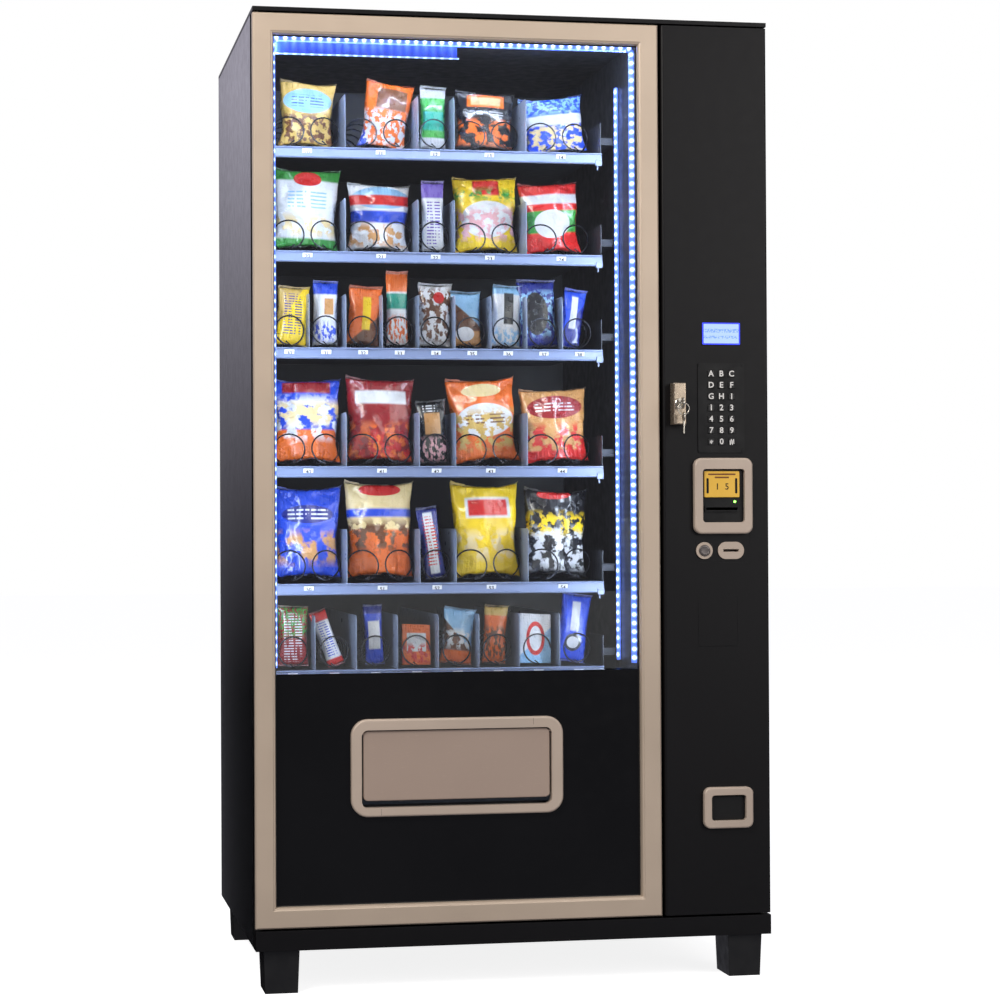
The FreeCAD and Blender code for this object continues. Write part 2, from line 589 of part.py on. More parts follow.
def keypad_plate():
    """The plate that the keys stand in, its switch body behind the door face, and three screws."""
    plate = rounded(KEYPAD_X, KEYPAD_Z, 92.0, 172.0, 3.0, FRONT - 2.0, FRONT)
    body = centred(KEYPAD_X, KEYPAD_Z, 2 * KEY_PITCH_X + 17, 6 * KEY_PITCH_Z + 17, FRONT, FRONT + 12)
    wells = [centred(x, z, KEY_SIZE + 0.6, KEY_SIZE + 0.6, FRONT - 3, FRONT + 6.5)
             for _, x, z in key_places()]
    corners = [rod(KEYPAD_X + sx * 42.5, FRONT - 3.2, KEYPAD_Z + sz * 82.0, 2.6, 1.2, ALONG_Y)
               for sx in (-1, 1) for sz in (-1, 1)]
    return fuse(fuse(plate, body).cut(Part.makeCompound(wells)), *corners)


def key(x, z):
    """A square key cap with softened front edges, standing in its well with room to travel."""
    cap = centred(x, z, KEY_SIZE, KEY_SIZE, FRONT - 4.2, FRONT + 4.0)
    front = [e for e in cap.Edges if e.BoundBox.YMax < FRONT - 4.1]
    return cap.makeFillet(0.8, front)


def spare_key(x, y, z):
    """A key that hangs from its eye at the given point: a round bow, a blade below it."""
    bow = rod(x - 1.1, y, z - 4.0, 9.0, 2.2, ALONG_X)
    blade = block(x - 1.1, x + 1.1, y - 3.5, y + 3.5, z - 36.0, z - 12.0)
    return fuse(bow, blade).cut(rod(x - 3, y, z, 2.6, 6.0, ALONG_X))


def lock_parts():
    """(handle, key set): the T-handle block on its barrel; a key in it, the ring and the spare key."""
    front = FRONT - 29.0
    grip = centred(LOCK_X, LOCK_Z, 24.0, 79.0, front, FRONT - 1.0)
    edges = [e for e in grip.Edges if e.BoundBox.YMax < front + 0.1]
    grip = grip.makeFillet(2.0, edges)
    barrel = rod(LOCK_X, FRONT - 1.0, LOCK_Z, LOCK_BARREL_R - 0.05, 30.0, ALONG_Y)
    cam = block(LOCK_X - 9, LOCK_X + 9, FRONT + 24, FRONT + 29, LOCK_Z - 9, LOCK_Z + 9)
    plug_bore = rod(LOCK_X, front - 1, LOCK_Z, 6.05, 15.0, ALONG_Y)
    handle = fuse(grip, barrel, cam).cut(plug_bore)
    plug = rod(LOCK_X, front, LOCK_Z, 6.0, 14.0, ALONG_Y)
    blade = block(LOCK_X - 1.1, LOCK_X + 1.1, front - 12, front, LOCK_Z - 4, LOCK_Z + 4)
    bow = rod(LOCK_X - 1.1, front - 20, LOCK_Z, 11.0, 2.2, ALONG_X)
    eye_y = front - 25.0
    eye = rod(LOCK_X - 3, eye_y, LOCK_Z, 2.6, 6.0, ALONG_X)
    ring = Part.makeTorus(KEY_RING_R, 0.9, Vector(LOCK_X, eye_y, LOCK_Z - KEY_RING_R), ALONG_Y)
    hanging = spare_key(LOCK_X, eye_y, LOCK_Z - 2 * KEY_RING_R)
    return handle, (fuse(plug, blade, bow).cut(eye), ring, hanging)


LOCK_BARREL_R = 10.0
KEY_RING_R = 11.0


def bill_bezel():
    """The thick rounded surround of the bill acceptor."""
    ring = rounded(BILL_X, BILL_Z, 115.5, 145.5, 15.0, FRONT - 13.0, FRONT)
    front = [e for e in ring.Edges if e.BoundBox.YMax < FRONT - 12.9]
    ring = ring.makeFillet(4.0, front)
    return ring.cut(rounded(BILL_X, BILL_Z + 0.5, 83.0, 102.0, 6.0, FRONT - 20, FRONT + 1))


def bill_acceptor():
    """The acceptor's mask in the surround, with a through slot for notes and its body behind."""
    mask = rounded(BILL_X, BILL_Z + 0.5, 82.4, 101.4, 6.0, FRONT - 4.0, FRONT)
    body = centred(BILL_X, BILL_Z, 90.0, 110.0, FRONT, FRONT + 90)
    mouth = centred(BILL_X - 3.0, BILL_Z - 24.5, 66.0, 11.0, FRONT - 8.0, FRONT - 4.0)
    slot = centred(BILL_X - 3.0, BILL_Z - 24.5, 62.0, 5.4, FRONT - 20, FRONT + 60)
    return fuse(mask, body, mouth).cut(slot)


def coin_trim():
    """The oval coin-slot plate with its slot, and the round collar of the coin-return button."""
    plate = rounded(SLOT_X, COIN_Z, COIN_PLATE_W, COIN_PLATE_H, COIN_PLATE_H / 2 - 0.3, FRONT - 3.0, FRONT)
    chute = centred(SLOT_X, COIN_Z, CHUTE_W, CHUTE_H, FRONT, FRONT + CHUTE_DEPTH)
    slot = centred(SLOT_X, COIN_Z, COIN_SLOT_W, COIN_SLOT_H, FRONT - 10, FRONT + COIN_SLOT_DEPTH)
    collar = rod(BUTTON_X, FRONT - 3.5, COIN_Z, 16.2, 3.5, ALONG_Y)
    sleeve = rod(BUTTON_X, FRONT, COIN_Z, 12.25, 14.0, ALONG_Y)
    bore = rod(BUTTON_X, FRONT - 5, COIN_Z, BUTTON_R + 0.06, 30.0, ALONG_Y)
    return fuse(plate, chute).cut(slot), fuse(collar, sleeve).cut(bore)


def return_button():
    cap = rod(BUTTON_X, FRONT - 5.5, COIN_Z, BUTTON_R, 17.0, ALONG_Y)
    front = [e for e in cap.Edges if e.BoundBox.YMax < FRONT - 5.4]
    return cap.makeFillet(1.0, front)


def coin_cup():
    """The coin-return bezel with the cup behind it: open at the front, closed all round."""
    ring = rounded(CUP_X, CUP_Z, 97.0, 78.6, 13.0, FRONT - 12.0, FRONT)
    front = [e for e in ring.Edges if e.BoundBox.YMax < FRONT - 11.9]
    ring = ring.makeFillet(3.5, front)
    cup = centred(CUP_X, CUP_Z, 78.0, 60.0, FRONT, FRONT + 62.0)
    room = rounded(CUP_X, CUP_Z, CUP_W, CUP_H, 6.0, FRONT - 20, FRONT + 60.0)
    chute = centred(CUP_X, CUP_Z + 22.0, 24.0, 30.0, FRONT + 46.0, FRONT + 58.0)
    pins = rod(CUP_X - CUP_W / 2 - 1.6, FRONT - 1.0, CUP_PIVOT_Z, 1.5, CUP_W + 3.2, ALONG_X)
    return fuse(ring, cup).cut(room).cut(chute).cut(pins)


def coin_flap():
    """The cup's inward-swinging flap on two small pins."""
    plate = centred(CUP_X, CUP_Z - 1.0, CUP_W - 1.4, CUP_H - 4.4, FRONT - 2.5, FRONT + 0.5)
    corners = [e for e in plate.Edges if abs(e.tangentAt(e.FirstParameter).y) > 0.99]
    plate = plate.makeFillet(5.4, corners)
    pin = rod(CUP_X - CUP_W / 2 - 1.3, FRONT - 1.0, CUP_PIVOT_Z, 1.44, CUP_W + 2.6, ALONG_X)
    return fuse(plate, pin)


# ---- inner equipment ----------------------------------------------------------------------------
INLET_X = RIGHT - 110.0
INLET_Z = 150.0


def power_inlet():
    """The mains inlet: a flanged socket with three blades in its well, in the rear panel."""
    flange = rounded(INLET_X, INLET_Z, 50.0, 30.0, 3.0, REAR - SKIN - 3.0, REAR - SKIN)
    body = centred(INLET_X, INLET_Z, 27.6, 23.6, REAR - 24.0, REAR - 0.2)
    well = centred(INLET_X, INLET_Z, 24.0, 17.0, REAR - 20.0, REAR + 1)
    blades = [centred(INLET_X + dx, INLET_Z + dz, 2.0, 5.0, REAR - 20.0, REAR - 5.0)
              for dx, dz in ((-7.0, -2.0), (0.0, 2.5), (7.0, -2.0))]
    return fuse(fuse(flange, body).cut(well), *blades)


def bay_equipment():
    """What the service bay holds on its wall: coin changer, cash box, control board and power supply."""
    wall = LINER_RIGHT + LINER_SKIN
    changer = block(wall, wall + 75.0, -240.0, -100.0, 560.0, 900.0)
    cash_box = block(wall, wall + 95.0, -280.0, -60.0, BASE_TOP, 260.0)
    board = block(wall, wall + 40.0, -60.0, 180.0, 1000.0, 1330.0)
    supply = block(wall, wall + 90.0, 60.0, 280.0, BASE_TOP, 230.0)
    return changer, cash_box, board, supply


def led_strips():
    """The light strips inside the window: left, right, top, and a second one back along the right."""
    thick = 3.0
    y0 = CABINET_FRONT + 4.0
    y1 = y0 + 12.0
    low = WINDOW_BOTTOM + 7
    left = block(LINER_LEFT, LINER_LEFT + thick, y0, y1, low, LINER_TOP - 4)
    right = block(LINER_RIGHT - thick, LINER_RIGHT, y0, y1, low, LINER_TOP - 4)
    top = block(LINER_LEFT + 4, LINER_RIGHT - 4, y0, y1, LINER_TOP - thick, LINER_TOP)
    back = block(LINER_RIGHT - thick, LINER_RIGHT, TRAY_FRONT - 12, TRAY_FRONT - 2, low, 1736.0)
    return left, right, top, back


# ---- write every sub-part -----------------------------------------------------------------------
def write_cabinet():
    save("left_side_panel", side_panel(-1))
    save("right_side_panel", side_panel(1))
    save("rear_panel", rear_panel())
    save("top_panel", top_panel())
    save("base_frame", base_frame())
    save("legs", *[leg(sx * LEG_X, sy * LEG_Y) for sx in (-1, 1) for sy in (-1, 1)])
    save("compartment_liner", compartment_liner())
    save("delivery_bin", delivery_bin())
    save("hinge_pins", *hinge_pins())
    save("power_inlet", power_inlet())
    save("bay_equipment", *bay_equipment())
    save("led_strips", *led_strips())


def write_trays():
    rows = range(len(TRAY_LEVELS))
    slides = [bar for row in rows for bar in tray_slides(row)]
    save("trays", *[tray(row) for row in rows], *slides)
    save("price_rails", *[price_rail(row) for row in rows])
    save("tray_dividers", *[plate for row in rows for plate in dividers(row)])
    save("coil_motors", *[motor(row, *lane) for row in rows for lane in lanes(row)])


def write_coils_and_packs():
    shapes = {(t, h): coil(t, h) for t in (WIDE_TURNS, NARROW_TURNS) for h in (-1, 1)}
    vend_x = {}
    for name, (row, lane) in VEND_LANES.items():
        left, right, _ = lanes(row)[lane]
        vend_x[(row, (left + right) / 2)] = name
    fixed = []
    for row, x, z, turns, hand in every_coil():
        spiral = shapes[(turns, hand)].translated(Vector(x, COIL_FRONT, z))
        if (row, x) in vend_x:
            save("vend_coil_" + vend_x[(row, x)], spiral)
        else:
            fixed.append(spiral)
    save("spiral_coils", *fixed)

    resting = []
    moving = {place: name for name, place in VEND_LANES.items()}
    for row, packets in enumerate(PACKS):
        for lane, (width, height) in enumerate(packets):
            left, right, wide = lanes(row)[lane]
            turns = WIDE_TURNS if wide else NARROW_TURNS
            packet = pack(coil_centres(left, right, wide), width, height, TRAY_LEVELS[row], turns)
            if (row, lane) in moving:
                save("vend_pack_" + moving[(row, lane)], packet)
            else:
                resting.append(packet)
    save("snack_packs", *resting)


def write_glass_door():
    save("door_frame", *door_frame())
    save("door_pan", door_pan())
    save("door_glass", window_pane())
    save("door_lower_panel", lower_panel())
    save("delivery_bezel", delivery_bezel())
    save("delivery_flap", delivery_flap())


def write_control_door():
    save("control_door_panel", control_panel(), payment_plate())
    save("display_module", display_module())
    save("keypad_plate", keypad_plate())
    for name, x, z in key_places():
        save("key_" + name, key(x, z))
    handle, key_set = lock_parts()
    save("lock_handle", handle)
    save("lock_key", *key_set)
    save("bill_bezel", bill_bezel())
    save("bill_acceptor", bill_acceptor())
    save("coin_trim", *coin_trim())
    save("coin_return_button", return_button())
    save("coin_cup", coin_cup())
    save("coin_return_flap", coin_flap())


write_cabinet()
write_trays()
write_coils_and_packs()
write_glass_door()
write_control_door()
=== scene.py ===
import math

import bmesh
import bpy
import numpy as np
from mathutils import Matrix, Vector, noise


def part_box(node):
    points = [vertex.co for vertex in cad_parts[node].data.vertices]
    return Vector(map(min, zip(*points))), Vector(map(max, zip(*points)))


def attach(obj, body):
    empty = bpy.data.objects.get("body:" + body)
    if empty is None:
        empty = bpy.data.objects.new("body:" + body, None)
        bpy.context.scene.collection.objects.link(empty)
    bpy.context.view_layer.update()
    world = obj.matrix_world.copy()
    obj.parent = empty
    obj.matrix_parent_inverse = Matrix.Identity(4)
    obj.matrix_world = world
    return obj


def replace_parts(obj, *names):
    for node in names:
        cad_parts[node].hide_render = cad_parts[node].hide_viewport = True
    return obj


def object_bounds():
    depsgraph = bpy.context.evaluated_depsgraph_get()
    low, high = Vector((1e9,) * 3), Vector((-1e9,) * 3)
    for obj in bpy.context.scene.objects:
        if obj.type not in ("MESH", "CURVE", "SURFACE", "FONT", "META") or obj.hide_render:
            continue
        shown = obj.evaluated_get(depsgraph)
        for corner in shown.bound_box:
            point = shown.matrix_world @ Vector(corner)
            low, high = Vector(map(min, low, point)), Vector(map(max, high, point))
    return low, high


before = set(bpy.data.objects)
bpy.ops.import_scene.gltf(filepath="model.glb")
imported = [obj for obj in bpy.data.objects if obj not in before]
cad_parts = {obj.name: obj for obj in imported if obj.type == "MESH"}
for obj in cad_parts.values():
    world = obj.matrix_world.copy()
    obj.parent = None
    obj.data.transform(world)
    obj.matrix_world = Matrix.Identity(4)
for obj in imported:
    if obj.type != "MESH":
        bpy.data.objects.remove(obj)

# Glass-front snack vending machine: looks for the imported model. Metres, +Z up, the doors face -Y.
cad_low, cad_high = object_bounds()
MM = 0.001

# ---- places taken from the frame ----------------------------------------------------------------
DOOR_LOW, DOOR_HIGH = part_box("door_frame")
LINER_LOW, LINER_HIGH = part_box("compartment_liner")
RAIL_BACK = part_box("price_rails")[1].y
PANE_LOW, PANE_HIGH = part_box("door_glass")
COLUMN_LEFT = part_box("control_door_panel")[0].x
FRONT = DOOR_LOW.y
FRAME_MEMBER = 35.5 * MM


def middle(node):
    low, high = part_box(node)
    return (low + high) / 2


def solids(node):
    """(lowest corner, highest corner) of every separate solid of a CAD node."""
    bm = bmesh.new()
    bm.from_mesh(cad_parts[node].data)
    bmesh.ops.remove_doubles(bm, verts=bm.verts, dist=1e-5)
    seen = set()
    found = []
    for start in bm.verts:
        if start in seen:
            continue
        seen.add(start)
        stack = [start]
        points = []
        while stack:
            vert = stack.pop()
            points.append(vert.co.copy())
            for edge in vert.link_edges:
                other = edge.other_vert(vert)
                if other not in seen:
                    seen.add(other)
                    stack.append(other)
        low = Vector([min(p[k] for p in points) for k in range(3)])
        high = Vector([max(p[k] for p in points) for k in range(3)])
        found.append((low, high))
    bm.free()
    return found


# ---- materials ----------------------------------------------------------------------------------
def srgb(red, green, blue):
    """A colour given as 0 to 255 screen values."""
    def linear(value):
        value /= 255.0
        return value / 12.92 if value <= 0.04045 else ((value + 0.055) / 1.055) ** 2.4
    return (linear(red), linear(green), linear(blue), 1.0)


class Paint:
    """A Principled material and the node patterns that the materials below are made of."""

    def __init__(self, name, color, roughness=0.5, metallic=0.0, **sockets):
        self.material = bpy.data.materials.new(name)
        self.material.use_nodes = True
        self.tree = self.material.node_tree
        self.bsdf = self.tree.nodes["Principled BSDF"]
        self.set("Base Color", color)
        self.set("Roughness", roughness)
        self.set("Metallic", metallic)
        for socket, value in sockets.items():
            self.set(socket.replace("_", " "), value)

    def set(self, socket, value):
        self.bsdf.inputs[socket].default_value = value

    def feed(self, socket, output):
        self.tree.links.new(output, self.bsdf.inputs[socket])

    def node(self, kind, inputs=(), **settings):
        made = self.tree.nodes.new("ShaderNode" + kind)
        for name, value in settings.items():
            setattr(made, name, value)
        for key, value in dict(inputs).items():
            if isinstance(value, bpy.types.NodeSocket):
                self.tree.links.new(value, made.inputs[key])
            else:
                made.inputs[key].default_value = value
        return made

    def coords(self, stretch=(1, 1, 1), source="Object"):
        place = self.node("TexCoord").outputs[source]
        return self.node("Mapping", {"Vector": place, "Scale": stretch}).outputs["Vector"]

    def noise(self, scale, stretch=(1, 1, 1), detail=3.0, source="Object"):
        place = self.coords(stretch, source)
        return self.node("TexNoise", {"Vector": place, "Scale": scale, "Detail": detail}).outputs["Fac"]

    def math(self, operation, first, second=0.0, third=0.0):
        made = self.node("Math", {0: first, 1: second, 2: third}, operation=operation)
        return made.outputs["Value"]

    def times(self, first, second):
        return self.math("MULTIPLY", first, second)

    def split(self, vector):
        return self.node("SeparateXYZ", {"Vector": vector}).outputs

    def range(self, value, low, high, to_low=0.0, to_high=1.0):
        made = self.node("MapRange", {"Value": value, "From Min": low, "From Max": high,
                                      "To Min": to_low, "To Max": to_high})
        return made.outputs["Result"]

    def mix(self, factor, first, second, blend="MIX"):
        made = self.node("MixRGB", {"Fac": factor, "Color1": first, "Color2": second}, blend_type=blend)
        return made.outputs["Color"]

    def bump(self, height, distance, strength=1.0, edge=0.0):
        inputs = {"Height": height, "Distance": distance, "Strength": strength}
        if edge:
            inputs["Normal"] = self.node("Bevel", {"Radius": edge}, samples=4).outputs["Normal"]
        self.feed("Normal", self.node("Bump", inputs).outputs["Normal"])


def shade(color, factor):
    return tuple(min(1.0, c * factor) for c in color[:3]) + (1.0,)


def surface(name, color, roughness, metallic=0.0, vary=0.12, patch=5.0, grain=1400.0, depth=0.02,
            stretch=(1, 1, 1), edge=0.0, wear=0.08, **sockets):
    """A colour that drifts in patches, roughness that drifts with it, and a fine grain. depth is in mm."""
    paint = Paint(name, color, roughness, metallic, **sockets)
    drift = paint.noise(patch, stretch)
    dark, light = shade(color, 1 - vary), shade(color, 1 + vary)
    paint.feed("Base Color", paint.mix(paint.range(drift, 0.35, 0.65), dark, light))
    smudge = paint.noise(patch * 9, stretch, 5.0)
    paint.feed("Roughness", paint.range(smudge, 0.3, 0.7, roughness - wear, roughness + wear))
    paint.bump(paint.noise(grain, stretch, 2.0), depth * MM, 1.0, edge)
    return paint.material


def lit(name, color, strength):
    """A light-giving surface with a little unevenness."""
    paint = Paint(name, color, 0.4, Emission_Color=color, Emission_Strength=strength)
    uneven = paint.range(paint.noise(300.0), 0.3, 0.7, strength * 0.85, strength * 1.15)
    paint.feed("Emission Strength", uneven)
    return paint.material


def clear_pane(name):
    """Tempered glass with a faint green cast and the slight waviness of rolled glass."""
    paint = Paint(name, (0.97, 0.99, 0.98, 1.0), 0.0, Transmission_Weight=1.0, IOR=1.45)
    paint.bump(paint.noise(2.5, (1, 1, 1), 1.0), 0.15 * MM, 0.25)
    return paint.material


def scratched(name, color, roughness, metallic=0.0, edge=0.0):
    """Satin paint with fine scuffs, as on a flap that every customer pushes."""
    paint = Paint(name, color, roughness, metallic)
    drift = paint.range(paint.noise(4.0), 0.35, 0.65, 0.0, 1.0)
    base = paint.mix(drift, shade(color, 0.94), color)
    streaks = paint.noise(60.0, (1.0, 1.0, 14.0), 6.0)
    scuff = paint.range(streaks, 0.66, 0.72, 0.0, 0.35)
    paint.feed("Base Color", paint.mix(scuff, base, shade(color, 1.5)))
    paint.feed("Roughness", paint.range(streaks, 0.4, 0.7, roughness - 0.05, roughness + 0.12))
    paint.bump(paint.noise(2200.0, (1, 1, 1), 2.0), 0.01 * MM, 0.6, edge)
    return paint.material


BLACK_PAINT = surface("black_powder_coat", srgb(8, 7, 9), 0.44, vary=0.06, grain=1800, depth=0.012,
                      edge=1.2 * MM, wear=0.02, Specular_IOR_Level=0.24)
SIDE_PAINT = surface("side_powder_coat", srgb(8, 8, 9), 0.16, grain=900, depth=0.0008, wear=0.03)
GLOSS_BLACK = surface("gloss_black_panel", srgb(9, 9, 10), 0.14, vary=0.2, grain=400, depth=0.002,
                      wear=0.05, Specular_IOR_Level=0.35)
CHAMPAGNE = surface("champagne_extrusion", srgb(196, 178, 158), 0.40, metallic=0.25, vary=0.05, patch=3.0,
                    grain=2600, depth=0.006, edge=1.0 * MM, wear=0.05)
CHAMPAGNE_PAINT = surface("champagne_moulding", srgb(188, 171, 155), 0.45, metallic=0.1, vary=0.05,
                          grain=2200, depth=0.01, edge=1.0 * MM, wear=0.06)
FLAP_PAINT = scratched("flap_paint", srgb(168, 148, 134), 0.46, edge=0.8 * MM)
GALVANISED = surface("galvanised_sheet", srgb(158, 160, 164), 0.40, metallic=0.85, vary=0.09, patch=70.0,
                     grain=700, depth=0.01, wear=0.05)
LEG_PAINT = surface("leg_paint", srgb(15, 15, 16), 0.42, grain=1500, depth=0.02, edge=2.0 * MM)
LINER_PAINT = surface("liner_paint", srgb(28, 29, 34), 0.42, grain=1600, depth=0.01)
BIN_PAINT = surface("bin_paint", srgb(34, 34, 36), 0.5, grain=1200, depth=0.02)
TRAY_PAINT = surface("tray_paint", srgb(44, 47, 56), 0.38, metallic=0.3, stretch=(1, 6, 1), grain=1500)
RAIL_PLASTIC = surface("rail_plastic", srgb(120, 132, 164), 0.32, vary=0.06, stretch=(0.3, 1, 1),
                       grain=900, depth=0.006, wear=0.05)
TAG_PAPER = surface("tag_paper", srgb(238, 240, 246), 0.7, vary=0.03, grain=3000, depth=0.01)
DIVIDER_PAINT = surface("divider_paint", srgb(140, 150, 172), 0.34, metallic=0.2, grain=1500, depth=0.008)
COIL_STEEL = surface("coil_wire", srgb(46, 47, 54), 0.26, metallic=0.75, vary=0.2, patch=60.0, grain=2500)
PIN_STEEL = surface("pin_steel", srgb(176, 172, 164), 0.3, metallic=1.0, grain=2000, depth=0.01)
LOCK_STEEL = surface("lock_steel", srgb(184, 168, 148), 0.30, metallic=0.85, vary=0.12, patch=30.0,
                     grain=2200, depth=0.012, edge=0.8 * MM, wear=0.1)
KEY_STEEL = surface("key_steel", srgb(206, 200, 188), 0.24, metallic=1.0, vary=0.1, patch=80.0, grain=3000)
RUBBER = surface("gasket_rubber", srgb(16, 16, 17), 0.62, grain=1800, depth=0.02)
BLACK_PLASTIC = surface("black_plastic", srgb(11, 11, 12), 0.5, grain=1600, depth=0.03,
                        Specular_IOR_Level=0.3)
KEY_PLASTIC = surface("key_plastic", srgb(14, 14, 15), 0.46, grain=2400, depth=0.012, edge=0.5 * MM)
CHARACTER_WHITE = surface("character_white", srgb(226, 224, 220), 0.5, vary=0.04, grain=2500, depth=0.004)
EQUIPMENT_GREY = surface("equipment_grey", srgb(92, 96, 102), 0.5, vary=0.1, grain=1300, depth=0.03)
BUTTON_GREY = surface("button_grey", srgb(104, 98, 96), 0.34, metallic=0.6, vary=0.12, patch=60.0, grain=2400)
# painted shade: a flat near-black plate laid where a seam or slot would show only shade
PAINTED_SHADE_GAP = surface("painted_shade_gap", srgb(8, 8, 9), 0.9, grain=900)
LED_TAPE = surface("led_tape", srgb(88, 120, 220), 0.5, grain=900)
GUIDE_YELLOW = surface("guide_plate", srgb(236, 186, 60), 0.4, vary=0.05, grain=1500, depth=0.01)
GUIDE_INK = surface("guide_ink", srgb(120, 70, 30), 0.6)
READY_LED = lit("ready_led", (0.25, 1.0, 0.1, 1.0), 5.0)

NODE_PAINT = {
    "left_side_panel": SIDE_PAINT, "right_side_panel": SIDE_PAINT, "rear_panel": GALVANISED,
    "top_panel": BLACK_PAINT, "base_frame": BLACK_PAINT, "legs": LEG_PAINT,
    "compartment_liner": LINER_PAINT, "delivery_bin": BIN_PAINT, "hinge_pins": PIN_STEEL,
    "power_inlet": BLACK_PLASTIC, "bay_equipment": EQUIPMENT_GREY, "trays": TRAY_PAINT,
    "tray_dividers": DIVIDER_PAINT, "coil_motors": BLACK_PLASTIC,
    "door_frame": CHAMPAGNE, "door_pan": BLACK_PAINT, "door_glass": clear_pane("window_glass"),
    "door_lower_panel": GLOSS_BLACK, "delivery_bezel": CHAMPAGNE_PAINT, "delivery_flap": FLAP_PAINT,
    "control_door_panel": BLACK_PAINT, "display_module": BLACK_PLASTIC, "keypad_plate": BLACK_PLASTIC,
    "bill_bezel": CHAMPAGNE_PAINT, "bill_acceptor": BLACK_PLASTIC, "coin_trim": CHAMPAGNE_PAINT,
    "coin_cup": CHAMPAGNE_PAINT, "coin_return_button": BUTTON_GREY, "coin_return_flap": BLACK_PLASTIC,
    "lock_handle": LOCK_STEEL, "lock_key": KEY_STEEL,
}
KEYS = [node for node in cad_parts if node.startswith("key_")]


def paint_cad_nodes():
    paints = NODE_PAINT | dict.fromkeys(KEYS, KEY_PLASTIC)
    for node, material in paints.items():
        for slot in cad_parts[node].material_slots:
            slot.material = material


# ---- mesh helpers -------------------------------------------------------------------------------
def new_object(name, data):
    made = bpy.data.objects.new(name, data)
    bpy.context.scene.collection.objects.link(made)
    return made


def add_piece(name, mesh, materials, body, smooth=True):
    for material in materials if isinstance(materials, (list, tuple)) else [materials]:
        mesh.materials.append(material)
    if smooth:
        mesh.shade_smooth()
    piece = new_object(name, mesh)
    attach(piece, body)
    return piece


def finish_mesh(bm, name):
    bmesh.ops.recalc_face_normals(bm, faces=bm.faces)
    mesh = bpy.data.meshes.new(name)
    bm.to_mesh(mesh)
    bm.free()
    return mesh


def soft_box(bm, low, high, bevel):
    """Adds a box with rounded edges."""
    made = bmesh.ops.create_cube(bm, size=1.0)
    low, high = Vector(low), Vector(high)
    centre, size = (low + high) / 2, high - low
    for vert in made["verts"]:
        vert.co = Vector([vert.co[k] * size[k] + centre[k] for k in range(3)])
    if bevel:
        edges = list({edge for vert in made["verts"] for edge in vert.link_edges})
        bmesh.ops.bevel(bm, geom=edges, offset=bevel, segments=2, profile=0.5, affect="EDGES")


def bridge(bm, loops, closed=False):
    """Joins every loop of points to the next one, and the last to the first when closed."""
    count = len(loops[0])
    for first, second in zip(loops, loops[1:] + loops[:1] if closed else loops[1:]):
        for k in range(count):
            bm.faces.new((first[k], first[(k + 1) % count], second[(k + 1) % count], second[k]))


def rounded_loop(x0, x1, z0, z1, radius, steps=6):
    """Points round a rectangle with round corners, counter-clockwise seen from the front."""
    points = []
    corners = ((x1 - radius, z1 - radius, 0), (x0 + radius, z1 - radius, 90),
               (x0 + radius, z0 + radius, 180), (x1 - radius, z0 + radius, 270))
    for cx, cz, start in corners:
        for step in range(steps + 1):
            angle = math.radians(start + 90.0 * step / steps)
            points.append((cx + radius * math.cos(angle), cz + radius * math.sin(angle)))
    return points


def ring_piece(name, x0, x1, z0, z1, radius, profile, material, body):
    """Sweeps a closed profile of (inset, y) points round a rectangle with round corners."""
    bm = bmesh.new()
    loops = []
    for inset, y in profile:
        corner = max(radius - inset, 0.0002)
        outline = rounded_loop(x0 + inset, x1 - inset, z0 + inset, z1 - inset, corner)
        loops.append([bm.verts.new((x, y, z)) for x, z in outline])
    bridge(bm, loops, closed=True)
    return add_piece(name, finish_mesh(bm, name), material, body, smooth=False)


def plate_piece(name, x, z, width, height, radius, y0, y1, material, body, bevel=0.3 * MM):
    """A thin plate facing the front, with round corners and a softened front edge."""
    bm = bmesh.new()
    layers = ((0.0, y1), (0.0, y0 + bevel), (bevel * 0.3, y0 + bevel * 0.3), (bevel, y0))
    loops = []
    for inset, y in layers:
        outline = rounded_loop(x - width / 2 + inset, x + width / 2 - inset, z - height / 2 + inset,
                               z + height / 2 - inset, max(radius - inset, 0.0001))
        loops.append([bm.verts.new((px, y, pz)) for px, pz in outline])
    bridge(bm, loops)
    bm.faces.new(loops[-1])
    bm.faces.new(list(reversed(loops[0])))
    return add_piece(name, finish_mesh(bm, name), material, body, smooth=False)


def turned(bm, centre, profile, steps):
    """Turns (radius, distance along y) points round centre, and returns the rings of points."""
    rings = []
    for radius, along in profile:
        ring = []
        for step in range(steps):
            angle = 2 * math.pi * step / steps
            offset = Vector((radius * math.cos(angle), along, radius * math.sin(angle)))
            ring.append(bm.verts.new(Vector(centre) + offset))
        rings.append(ring)
    bridge(bm, rings)
    return rings


def lathe_piece(name, centre, profile, material, body):
    bm = bmesh.new()
    rings = turned(bm, centre, profile, 32)
    bm.faces.new(rings[0])
    bm.faces.new(rings[-1])
    return add_piece(name, finish_mesh(bm, name), material, body, smooth=False)


def text_mesh(text, size, thickness, bold=0.0):
    """Flat characters as a mesh in the XZ plane, centred, facing the front."""
    curve = bpy.data.curves.new("text_source", "FONT")
    curve.body = text
    curve.size = size
    curve.align_x = "CENTER"
    curve.align_y = "CENTER"
    curve.extrude = thickness / 2
    curve.offset = bold
    curve.resolution_u = 3
    source = new_object("text_source", curve)
    mesh = bpy.data.meshes.new_from_object(source.evaluated_get(bpy.context.evaluated_depsgraph_get()))
    bpy.data.objects.remove(source)
    mesh.transform(Matrix.Rotation(math.radians(90), 4, "X"))
    mesh.materials.clear()
    return mesh


def text_piece(name, text, x, y, z, size, material, body, bold=0.0):
    mesh = text_mesh(text, size, 0.2 * MM, bold)
    mesh.transform(Matrix.Translation((x, y, z)))
    return add_piece(name, mesh, material, body, smooth=False)


# ---- light strips -------------------------------------------------------------------------------
LED_PITCH = 16.6 * MM
SLEEVE_RISE = 3.0 * MM
TAPE_DEPTH = 1.2 * MM


